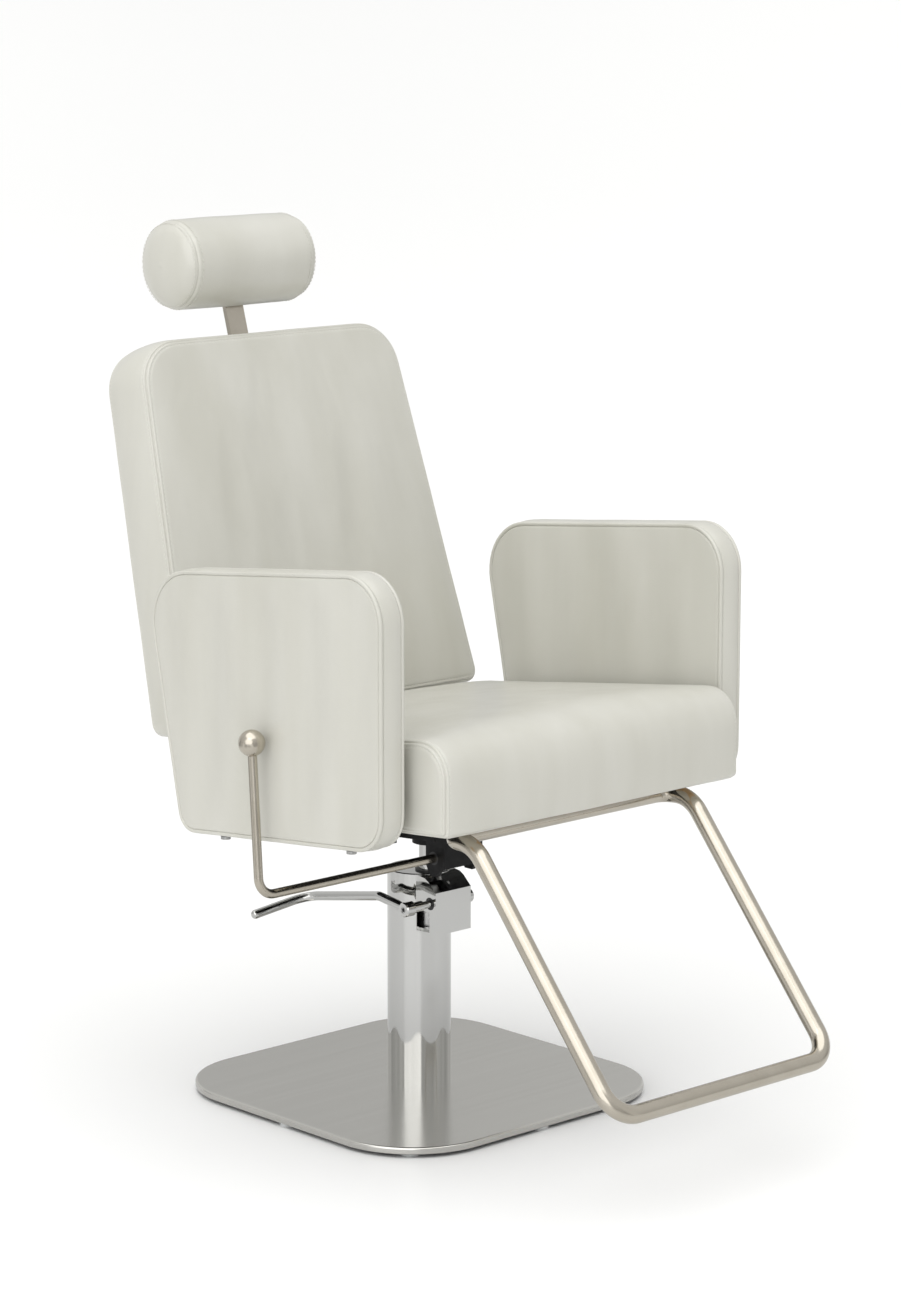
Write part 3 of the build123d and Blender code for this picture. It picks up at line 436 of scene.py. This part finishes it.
class Outline:
    """A four-sided outline with rounded corners, sampled the same way however far inward it is drawn."""

    ARC_STEPS = 12

    def __init__(self, corners, radii, spacing):
        self.corners = [Vector(c) for c in corners]
        self.radii = radii
        sides = [(self.corners[i] - self.corners[(i + 1) % 4]).length for i in range(4)]
        across = max(6, round((sides[0] + sides[2]) / 2 / spacing))
        along = max(6, round((sides[1] + sides[3]) / 2 / spacing))
        self.steps = [across, along, across, along]

    def inward(self, inset):
        """The corners of the outline with each side moved inward. The outline runs anticlockwise."""
        moved = []
        for i in range(4):
            before, here, after = self.corners[i - 1], self.corners[i], self.corners[(i + 1) % 4]
            a = (here - before).normalized()
            b = (after - here).normalized()
            turn = a.x * b.y - a.y * b.x
            left_a = Vector((-a.y, a.x))
            left_b = Vector((-b.y, b.x))
            # where the two moved sides cross
            offset = (left_b - left_a) * inset
            along = (offset.x * b.y - offset.y * b.x) / turn
            moved.append(here + left_a * inset + a * along)
        return moved

    def ring(self, inset):
        """Points round the outline, from the middle of the first corner's arc."""
        corners = self.inward(inset)
        arcs = []
        for i in range(4):
            here = corners[i]
            a = (corners[i - 1] - here).normalized()
            b = (corners[(i + 1) % 4] - here).normalized()
            radius = max(self.radii[i] - inset, LEAST_RADIUS)
            half = a.angle(b) / 2
            centre = here + (a + b).normalized() * radius / math.sin(half)
            start = here + a * radius / math.tan(half) - centre
            end = here + b * radius / math.tan(half) - centre
            sweep = math.pi - 2 * half
            arc = []
            for k in range(self.ARC_STEPS + 1):
                t = k / self.ARC_STEPS
                spoke = start * math.sin((1 - t) * sweep) + end * math.sin(t * sweep)
                arc.append(centre + spoke / math.sin(sweep))
            arcs.append(arc)
        half = self.ARC_STEPS // 2
        points = []
        for i in range(4):
            points += arcs[i][half:]
            a, b = arcs[i][-1], arcs[(i + 1) % 4][0]
            for k in range(1, self.steps[i]):
                points.append(a.lerp(b, k / self.steps[i]))
            points += arcs[(i + 1) % 4][:half]
        return points

    def side_lengths(self):
        """How many steps each side has, from one arc's middle to the next."""
        return [self.ARC_STEPS + step for step in self.steps]


# How far along the rounded edge from the seam each ring lies, and how far it stands out there, in mm.
SEAM_RINGS = (
    (-9.5, 0.0),
    (-7.0, 0.0),
    (-5.6, -0.7),
    (-4.4, 0.3),
    (-2.8, 0.95),
    (-1.2, 0.2),
    (0.0, -2.0),
    (1.2, 0.2),
    (2.8, 0.95),
    (4.4, 0.3),
    (5.6, -0.7),
    (7.0, 0.0),
    (9.5, 0.0),
)
STITCH_RINGS = (2, 10)


def coons(ring, sides):
    """Fills a ring with a grid. Returns rows of points, whose rim is the ring itself."""
    n, m = sides[0], sides[1]
    bottom = ring[: n + 1]
    right = ring[n : n + m + 1]
    top = ring[n + m : 2 * n + m + 1][::-1]
    left = (ring[2 * n + m :] + ring[:1])[::-1]

    def shares(a, b):
        total = [0.0]
        for i in range(1, len(a)):
            total.append(total[-1] + (a[i] - a[i - 1]).length + (b[i] - b[i - 1]).length)
        return [t / total[-1] for t in total]

    us, vs = shares(bottom, top), shares(left, right)
    rows = []
    for j, v in enumerate(vs):
        row = []
        for i, u in enumerate(us):
            sides_part = left[j] * (1 - u) + right[j] * u
            ends_part = bottom[i] * (1 - v) + top[i] * v
            corners_part = bottom[0] * (1 - u) * (1 - v) + bottom[n] * u * (1 - v)
            corners_part = corners_part + top[0] * (1 - u) * v + top[n] * u * v
            row.append(sides_part + ends_part - corners_part)
        rows.append(row)
    return rows, us, vs


class Boxed:
    """A boxed cushion: two panels with one outline, a band between them, and rounded edges with a seam.

    place turns a point of the outline and a distance across it into a point in space."""

    def __init__(self, name, outline, place, low, high, edge, rings, band_step, puff):
        self.name, self.outline, self.place = name, outline, place
        self.mesh = bmesh.new()
        self.rings = {}
        self.pinned = []
        self.sides = outline.side_lengths()
        self.edge = edge
        loops = []
        count = max(3, round((high - low - 2 * edge) / band_step))
        start, end = low + edge, high - edge
        for sign, face in ((-1, low), (1, high)):
            rim = []
            for number, (along, out) in enumerate(rings):
                reach = edge * math.pi / 4 + along * MM
                angle = min(max(reach / edge, 0.0), math.pi / 2)
                inset = edge - (edge + out * MM) * math.cos(angle)
                depth = face - sign * edge + sign * (edge + out * MM) * math.sin(angle)
                rim.append((inset, depth, number))
            loops.append(rim if sign == 1 else rim[::-1])
        steps = [(0.0, start + (end - start) * k / count, None) for k in range(count + 1)]
        self.stations = [(*s[:2], ("low", s[2])) for s in loops[0]]
        self.stations += [(*s[:2], ("band", None)) for s in steps]
        self.stations += [(*s[:2], ("high", s[2])) for s in loops[1]]
        self.build(low, high, start, end, puff)

    def build(self, low, high, start, end, puff):
        layers = []
        for inset, depth, (part, number) in self.stations:
            points = self.outline.ring(inset)
            swell = 0.0
            if part == "band" and end > start:
                share = (depth - start) / (end - start)
                swell = (4 * share * (1 - share)) ** 0.7
            verts = []
            for i, p in enumerate(points):
                q = p
                if swell:
                    before, after = points[i - 1], points[(i + 1) % len(points)]
                    run = (after - before).normalized()
                    outward = Vector((run.y, -run.x))
                    q = p + outward * swell * puff(outward)
                verts.append(self.mesh.verts.new(self.place(q, depth)))
            layers.append(verts)
            if number is not None:
                self.rings[(part, number)] = verts
                self.pinned += verts
        for a, b in zip(layers, layers[1:]):
            for i in range(len(a)):
                j = (i + 1) % len(a)
                self.mesh.faces.new((a[i], a[j], b[j], b[i]))
        self.low_grid = self.fill(layers[0], low, -1)
        self.high_grid = self.fill(layers[-1], high, 1)

    def fill(self, rim, face, sign):
        """Closes one side with a grid of faces. Returns its inner vertices with their place on the grid."""
        inset = self.outline.ring(self.edge)
        rows, us, vs = coons(inset, self.sides)
        n, m = self.sides[0], self.sides[1]
        rim_index = {}
        for i in range(n + 1):
            rim_index[(0, i)] = i
        for j in range(m + 1):
            rim_index[(j, n)] = n + j
        for i in range(n + 1):
            rim_index[(m, n - i)] = n + m + i
        for j in range(1, m):
            rim_index[(m - j, 0)] = 2 * n + m + j
        grid, inner = [], []
        for j in range(m + 1):
            line = []
            for i in range(n + 1):
                if (j, i) in rim_index:
                    line.append(rim[rim_index[(j, i)]])
                else:
                    vert = self.mesh.verts.new(self.place(rows[j][i], face))
                    inner.append((vert, us[i], vs[j], rows[j][i]))
                    line.append(vert)
            grid.append(line)
        for j in range(m):
            for i in range(n):
                corners = (grid[j][i], grid[j][i + 1], grid[j + 1][i + 1], grid[j + 1][i])
                self.mesh.faces.new(corners if sign > 0 else corners[::-1])
        return inner

    def crown(self, inner, direction, height, wave=0.0, wave_length=0.085, phase=0.0):
        """Raises a panel's middle, with soft upright waves in the cover."""
        for vert, u, v, flat in inner:
            rise = (16 * u * (1 - u) * v * (1 - v)) ** 0.6
            sway = 0.9 * math.sin(11 * flat.y + phase)
            ripple = math.sin(2 * math.pi * flat.x / wave_length + phase + sway)
            ripple += 0.4 * math.sin(2 * math.pi * flat.x / (wave_length * 1.63) + 2.3 * phase)
            fade = min(1.0, 8 * u * (1 - u)) * min(1.0, 8 * v * (1 - v))
            vert.co += direction * (height * rise + wave * ripple * fade)

    def finish(self, material):
        self.mesh.verts.index_update()
        self.pinned_index = [v.index for v in self.pinned]
        self.ring_index = {key: [v.index for v in verts] for key, verts in self.rings.items()}
        self.object = finish_mesh(self.name, self.mesh, material)
        return self.object


# ---- cloth, creases, threads and piping ----

CLOTH_FRAMES = 20
CLOTH_PRESSURE = 4.0


def inflate(cushion, cap, held=()):
    """Fills the cover with air while its seams stay put, and caps how far a point may move."""
    piece = cushion.object
    group = piece.vertex_groups.new(name="seam")
    group.add(sorted(set(cushion.pinned_index) | set(held)), 1.0, "REPLACE")
    rest = np.array([v.co[:] for v in piece.data.vertices])
    cloth = piece.modifiers.new("cloth", "CLOTH")
    cloth.settings.quality = 5
    cloth.settings.mass = 0.3
    cloth.settings.tension_stiffness = 18
    cloth.settings.compression_stiffness = 12
    cloth.settings.shear_stiffness = 8
    cloth.settings.bending_stiffness = 0.8
    cloth.settings.use_pressure = True
    cloth.settings.uniform_pressure_force = CLOTH_PRESSURE
    cloth.settings.vertex_group_mass = "seam"
    cloth.settings.effector_weights.gravity = 0.0
    cloth.collision_settings.use_collision = False
    cloth.point_cache.frame_start = 1
    cloth.point_cache.frame_end = CLOTH_FRAMES
    scene = bpy.context.scene
    for number in range(1, CLOTH_FRAMES + 1):
        scene.frame_set(number)
    shape = piece.evaluated_get(bpy.context.evaluated_depsgraph_get()).to_mesh()
    moved = np.array([v.co[:] for v in shape.vertices]) - rest
    far = np.linalg.norm(moved, axis=1, keepdims=True)
    moved *= np.minimum(1.0, cap / np.maximum(far, 1e-9))
    print("cloth", piece.name, "moved", round(float(far.max()) / MM, 1), "mm")
    piece.modifiers.remove(cloth)
    piece.vertex_groups.remove(group)
    piece.data.vertices.foreach_set("co", (rest + moved).ravel())
    piece.data.update()
    scene.frame_set(1)


def crease(piece, depth, size):
    """Small soft creases in a cover, from smooth noise along its normals."""
    mesh = piece.data
    normals = [v.normal.copy() for v in mesh.vertices]
    for vert, normal in zip(mesh.vertices, normals):
        vert.co += normal * depth * noise.noise(vert.co / size)
    mesh.update()


def subdivide(piece):
    """Subdivides a finished cover once."""
    smooth = piece.modifiers.new("smooth", "SUBSURF")
    smooth.levels = 1
    shape = piece.evaluated_get(bpy.context.evaluated_depsgraph_get())
    mesh = bpy.data.meshes.new_from_object(shape)
    piece.modifiers.clear()
    piece.data = mesh
    mesh.shade_smooth()


PIPING_SIDES = 12


def cord_loop(name, points, radius, material):
    """A round cord along a closed loop of points, which are close together."""
    mesh = bmesh.new()
    count = len(points)
    rings = []
    across = None
    for i, p in enumerate(points):
        run = (points[(i + 1) % count] - points[i - 1]).normalized()
        if across is None:
            across = run.orthogonal().normalized()
        across = (across - run * across.dot(run)).normalized()
        up = run.cross(across)
        ring = []
        for k in range(PIPING_SIDES):
            angle = 2 * math.pi * k / PIPING_SIDES
            spoke = across * math.cos(angle) + up * math.sin(angle)
            ring.append(mesh.verts.new(p + spoke * radius))
        rings.append(ring)
    for i in range(count):
        a, b = rings[i], rings[(i + 1) % count]
        shift = 0
        # the last ring meets the first one turned a little
        if i == count - 1:
            shift = min(range(PIPING_SIDES), key=lambda s: (a[0].co - b[s].co).length)
        for k in range(PIPING_SIDES):
            j = (k + 1) % PIPING_SIDES
            mesh.faces.new((a[k], a[j], b[(j + shift) % PIPING_SIDES], b[(k + shift) % PIPING_SIDES]))
    return finish_mesh(name, mesh, material)


STITCH_LENGTH = 4.2 * MM
STITCH_GAP = 1.6 * MM
THREAD_RADIUS = 0.45 * MM
THREAD_SIDES = 6
# Along one stitch: the share of its length, its lift and its width, both in thread radii.
STITCH_SHAPE = ((0.0, -0.6, 0.5), (0.12, 0.1, 0.9), (0.5, 0.35, 1.0), (0.88, 0.1, 0.9), (1.0, -0.6, 0.5))


def stitches(name, loops, material):
    """Rows of top-stitching. Each loop is a list of points with their normals, on the cover."""
    mesh = bmesh.new()
    for points, normals in loops:
        travelled = [0.0]
        for a, b in zip(points, points[1:]):
            travelled.append(travelled[-1] + (b - a).length)
        pitch = STITCH_LENGTH + STITCH_GAP
        for number in range(int(travelled[-1] / pitch)):
            ring_list = []
            for share, lift, width in STITCH_SHAPE:
                at = number * pitch + share * STITCH_LENGTH
                k = min(int(np.searchsorted(travelled, at, side="right")) - 1, len(points) - 2)
                t = (at - travelled[k]) / (travelled[k + 1] - travelled[k])
                normal = normals[k].lerp(normals[k + 1], t).normalized()
                run = (points[k + 1] - points[k]).normalized()
                side = run.cross(normal).normalized()
                centre = points[k].lerp(points[k + 1], t) + normal * lift * THREAD_RADIUS
                ring = []
                for s in range(THREAD_SIDES):
                    angle = 2 * math.pi * s / THREAD_SIDES
                    offset = side * math.cos(angle) + normal * math.sin(angle)
                    ring.append(mesh.verts.new(centre + offset * THREAD_RADIUS * width))
                ring_list.append(ring)
            for a, b in zip(ring_list, ring_list[1:]):
                for s in range(THREAD_SIDES):
                    j = (s + 1) % THREAD_SIDES
                    mesh.faces.new((a[s], a[j], b[j], b[s]))
            mesh.faces.new(ring_list[0][::-1])
            mesh.faces.new(ring_list[-1])
    return finish_mesh(name, mesh, material)


def ring_loop(cushion, key, keep=None):
    """A seam ring's points and normals on the finished cover, cut to where keep says."""
    verts = cushion.object.data.vertices
    picked = [verts[i] for i in cushion.ring_index[key]]
    points = [v.co.copy() for v in picked]
    normals = [v.normal.copy() for v in picked]
    points.append(points[0])
    normals.append(normals[0])
    if keep is None:
        return [(points, normals)]
    runs, current = [], ([], [])
    start = next((i for i, p in enumerate(points) if not keep(p)), 0)
    order = list(range(start, len(points) - 1)) + list(range(0, start + 1))
    for i in order:
        if keep(points[i]):
            current[0].append(points[i])
            current[1].append(normals[i])
        else:
            if len(current[0]) > 3:
                runs.append(current)
            current = ([], [])
    return runs


def seam_stitching(name, cushion, material, keep=None):
    """Top-stitching on both sides of both seams of a boxed cushion."""
    rows = []
    for part in ("low", "high"):
        for number in STITCH_RINGS:
            rows += ring_loop(cushion, (part, number), keep)
    return stitches(name, rows, material)


def cover(piece, body, *nodes, fill=None):
    """Mounts a leatherette piece on a body, in place of its CAD nodes."""
    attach(piece, body)
    if nodes:
        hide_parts(*nodes)


# ---- seat ----

SEAT_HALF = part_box("seat_cushion")[1][0]
SEAT_CORNERS = [(-0.337, 0.447), (0.128, 0.411), (0.150, 0.5092), (-0.337, 0.572)]
SEAT_RADII = [0.010, 0.010, 0.020, 0.047]
SPACING = 7.0 * MM
CUSHION_EDGE = 13.0 * MM
CUSHION_CAP = 7 * MM
SEAT_CROWN = 2.5 * MM
# How far the seat's band stands out at its top, front and rear. Its underside stays flat.
SEAT_PUFF_TOP = 6.0 * MM
SEAT_PUFF_FRONT = 5.0 * MM
SEAT_PUFF_REAR = 2.0 * MM
SEAT_STITCH_FLOOR = 0.447


def side_place(p, across):
    """Places a side profile, drawn in Y and Z, at an X."""
    return Vector((across, p.x, p.y))


def make_seat(material, thread_material):
    outline = Outline(SEAT_CORNERS, SEAT_RADII, SPACING)

    def puff(outward):
        if outward.y < -0.5:
            return 0.0
        if outward.x > 0.5:
            return SEAT_PUFF_REAR
        return SEAT_PUFF_TOP if outward.y > 0.5 else SEAT_PUFF_FRONT

    faces = (-SEAT_HALF, SEAT_HALF)
    seat = Boxed("seat_cover", outline, side_place, *faces, CUSHION_EDGE, SEAM_RINGS, SPACING, puff)
    seat.crown(seat.low_grid, Vector((-1, 0, 0)), SEAT_CROWN)
    seat.crown(seat.high_grid, Vector((1, 0, 0)), SEAT_CROWN)
    piece = seat.finish(material)
    base = [v.index for v in piece.data.vertices if v.normal.z < -0.8]
    inflate(seat, CUSHION_CAP, held=base)
    crease(piece, 0.5 * MM, 0.05)
    thread_piece = seam_stitching("seat_stitching", seat, thread_material, lambda p: p.z > SEAT_STITCH_FLOOR)
    subdivide(piece)
    cover(piece, "seat", "seat_cushion", fill=0.8)
    cover(thread_piece, "seat")


# ---- arms ----

ARM_CORNERS = [(-0.282, 0.4295), (0.1072, 0.3912), (0.178, 0.7279), (-0.282, 0.777)]
ARM_RADII = [0.048, 0.028, 0.075, 0.060]
PIPING_RADIUS = 2.8 * MM
PIPING_RINGS = (
    (-5.8, 0.0),
    (-4.2, -0.1),
    (-2.8, -1.3),
    (0.0, -2.6),
    (2.8, -1.3),
    (4.2, -0.1),
    (5.8, 0.0),
)
PIPING_MIDDLE = 3
PIPING_SINK = 0.75
ARM_EDGE = 7.0 * MM
ARM_PUFF = 1.5 * MM
ARM_CROWN = 2.0 * MM
ARM_WAVE = 1.6 * MM
ARM_WAVE_LENGTH = 0.098


def make_arm(side, sign, material):
    node = "arm_pad_" + side
    low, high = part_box(node)[0][0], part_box(node)[1][0]
    outline = Outline(ARM_CORNERS, ARM_RADII, SPACING)
    name = "arm_cover_" + side
    arm = Boxed(name, outline, side_place, low, high, ARM_EDGE, PIPING_RINGS, 5 * MM, lambda o: ARM_PUFF)
    outer, inner = (arm.high_grid, arm.low_grid) if sign > 0 else (arm.low_grid, arm.high_grid)
    out = Vector((sign, 0, 0))
    arm.crown(outer, out, ARM_CROWN, ARM_WAVE, ARM_WAVE_LENGTH, phase=1.1)
    arm.crown(inner, -out, ARM_CROWN, ARM_WAVE, ARM_WAVE_LENGTH, phase=2.7)
    piece = arm.finish(material)
    crease(piece, 0.4 * MM, 0.06)
    seams = []
    for part in ("low", "high"):
        verts = [piece.data.vertices[i] for i in arm.ring_index[(part, PIPING_MIDDLE)]]
        seams.append([v.co + v.normal * PIPING_RADIUS * PIPING_SINK for v in verts])
    for number, points in enumerate(seams):
        piping = cord_loop("arm_piping_%s_%d" % (side, number + 1), points, PIPING_RADIUS, material)
        cover(piping, "seat")
    subdivide(piece)
    cover(piece, "seat", node, fill=0.7)


# ---- back ----

BACK_LEAN = math.radians(16.24)
BACK_FOOT = Vector((0, 0.1562, 0.508))
BACK_LENGTH = 0.521
BACK_THICK = 0.089
BACK_HALF_FOOT = 0.263
BACK_HALF_TOP = 0.2245
BACK_RADII = [0.019, 0.019, 0.064, 0.064]
BACK_PUFF = 2.5 * MM
BACK_CROWN_FRONT = 6 * MM
BACK_CROWN_REAR = 2.5 * MM
BACK_WAVE = 1.8 * MM
BACK_WAVE_LENGTH = 0.105
BACK_UP = Vector((0, math.sin(BACK_LEAN), math.cos(BACK_LEAN)))
BACK_OUT = Vector((0, -math.cos(BACK_LEAN), math.sin(BACK_LEAN)))


def make_back(material, thread_material):
    foot = [(-BACK_HALF_FOOT, 0), (BACK_HALF_FOOT, 0)]
    top = [(BACK_HALF_TOP, BACK_LENGTH), (-BACK_HALF_TOP, BACK_LENGTH)]
    outline = Outline(foot + top, BACK_RADII, SPACING)

    def place(p, across):
        return BACK_FOOT + Vector((p.x, 0, 0)) + BACK_UP * p.y + BACK_OUT * across

    faces = (-BACK_THICK, 0.0)
    back = Boxed("back_cover", outline, place, *faces, CUSHION_EDGE, SEAM_RINGS, SPACING, lambda o: BACK_PUFF)
    back.crown(back.high_grid, BACK_OUT, BACK_CROWN_FRONT, BACK_WAVE, BACK_WAVE_LENGTH, phase=0.4)
    back.crown(back.low_grid, -BACK_OUT, BACK_CROWN_REAR)
    piece = back.finish(material)
    inflate(back, CUSHION_CAP)
    crease(piece, 0.5 * MM, 0.07)
    thread_piece = seam_stitching("back_stitching", back, thread_material)
    subdivide(piece)
    cover(piece, "back", "back_cushion", fill=0.8)
    cover(thread_piece, "back")


# ---- headrest roll ----

ROLL_SEAM = 0.102
ROLL_DOME = 0.0175
ROLL_PROUD = 0.8 * MM
ROLL_AROUND = 128
ROLL_STEPS = 26
# Past the seam, counted inward from it: the distance and the share of the radius.
ROLL_EDGE = (
    (0.0070, 0.985),
    (0.0045, 0.978),
    (0.0030, 0.978),
    (0.0014, 0.966),
    (0.0000, 0.925),
    (-0.0014, 0.948),
    (-0.0034, 0.934),
    (-0.0060, 0.900),
    (-0.0085, 0.850),
)
# Each row of stitches, likewise.
ROLL_STITCHES = ((0.0062, 0.989), (-0.0052, 0.918))


def roll_profile(radius):
    """x along the axis and the radius there, with a pinched seam where each end cap is sewn on."""
    profile = []
    for k in range(ROLL_STEPS + 1):
        x = -ROLL_SEAM + 0.010 + (2 * ROLL_SEAM - 0.020) * k / ROLL_STEPS
        share = abs(x) / ROLL_SEAM
        profile.append((x, radius * (1 - 0.012 * share**4)))
    cap = [(x, radius * r) for x, r in ROLL_EDGE]
    for k in range(1, 12):
        share = k / 12
        r = 0.85 * (1 - share)
        rise = ROLL_DOME * math.sqrt(max(0.0, 1 - (r / 0.95) ** 2))
        cap.append((-0.0015 - rise, radius * r))
    left = [(-ROLL_SEAM + x, r) for x, r in cap[::-1]]
    right = [(ROLL_SEAM - x, r) for x, r in cap]
    return left + profile + right


def make_roll(material, thread_material):
    low, high = (Vector(c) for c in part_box("headrest_roll"))
    centre = (low + high) / 2
    radius = (high.z - low.z) / 2 + ROLL_PROUD
    profile = roll_profile(radius)
    mesh = bmesh.new()
    rings = []
    for x, r in profile:
        ring = []
        for k in range(ROLL_AROUND):
            angle = 2 * math.pi * k / ROLL_AROUND
            pull = max(0.0, 1 - abs(abs(x) - ROLL_SEAM) / 0.020)
            c, s = math.cos(angle), math.sin(angle)
            pucker = 0.5 * MM * pull * noise.noise(Vector((11 * c, 11 * s, 40 * x)))
            wave = 0.8 * MM * noise.noise(Vector((2 * c, 2 * s, 14 * x)))
            reach = r + pucker + wave
            ring.append(mesh.verts.new(centre + Vector((x, reach * c, reach * s))))
        rings.append(ring)
    for a, b in zip(rings, rings[1:]):
        for k in range(ROLL_AROUND):
            j = (k + 1) % ROLL_AROUND
            mesh.faces.new((a[k], a[j], b[j], b[k]))
    for ring, x in ((rings[0], profile[0][0]), (rings[-1], profile[-1][0])):
        middle = mesh.verts.new(centre + Vector((x + math.copysign(0.0006, x), 0, 0)))
        for k in range(ROLL_AROUND):
            mesh.faces.new((middle, ring[k], ring[(k + 1) % ROLL_AROUND]))
    piece = finish_mesh("headrest_cover", mesh, material)
    subdivide(piece)
    cover(piece, "headrest", "headrest_roll", fill=0.9)
    loops = []
    for side in (-1, 1):
        for inward, share in ROLL_STITCHES:
            points, normals = [], []
            along = Vector((side * (ROLL_SEAM - inward), 0, 0))
            for k in range(ROLL_AROUND + 1):
                angle = 2 * math.pi * k / ROLL_AROUND
                outward = Vector((0, math.cos(angle), math.sin(angle)))
                points.append(centre + along + outward * radius * share)
                normals.append(outward)
            loops.append((points, normals))
    cover(stitches("headrest_stitching", loops, thread_material), "headrest")


def main():
    make_camera()
    make_world()
    make_floor()
    for sun in SUNS:
        make_sun(*sun)
    bpy.context.scene.view_settings.view_transform = "Standard"
    materials = {maker.__name__: maker() for maker in MAKERS}
    materials["pearl_leatherette"] = materials.pop("leatherette")
    dress_frame(materials)
    hide = materials["pearl_leatherette"]
    thread_material = thread()
    make_seat(hide, thread_material)
    make_arm("left", 1, hide)
    make_arm("right", -1, hide)
    make_back(hide, thread_material)
    make_roll(hide, thread_material)


main()
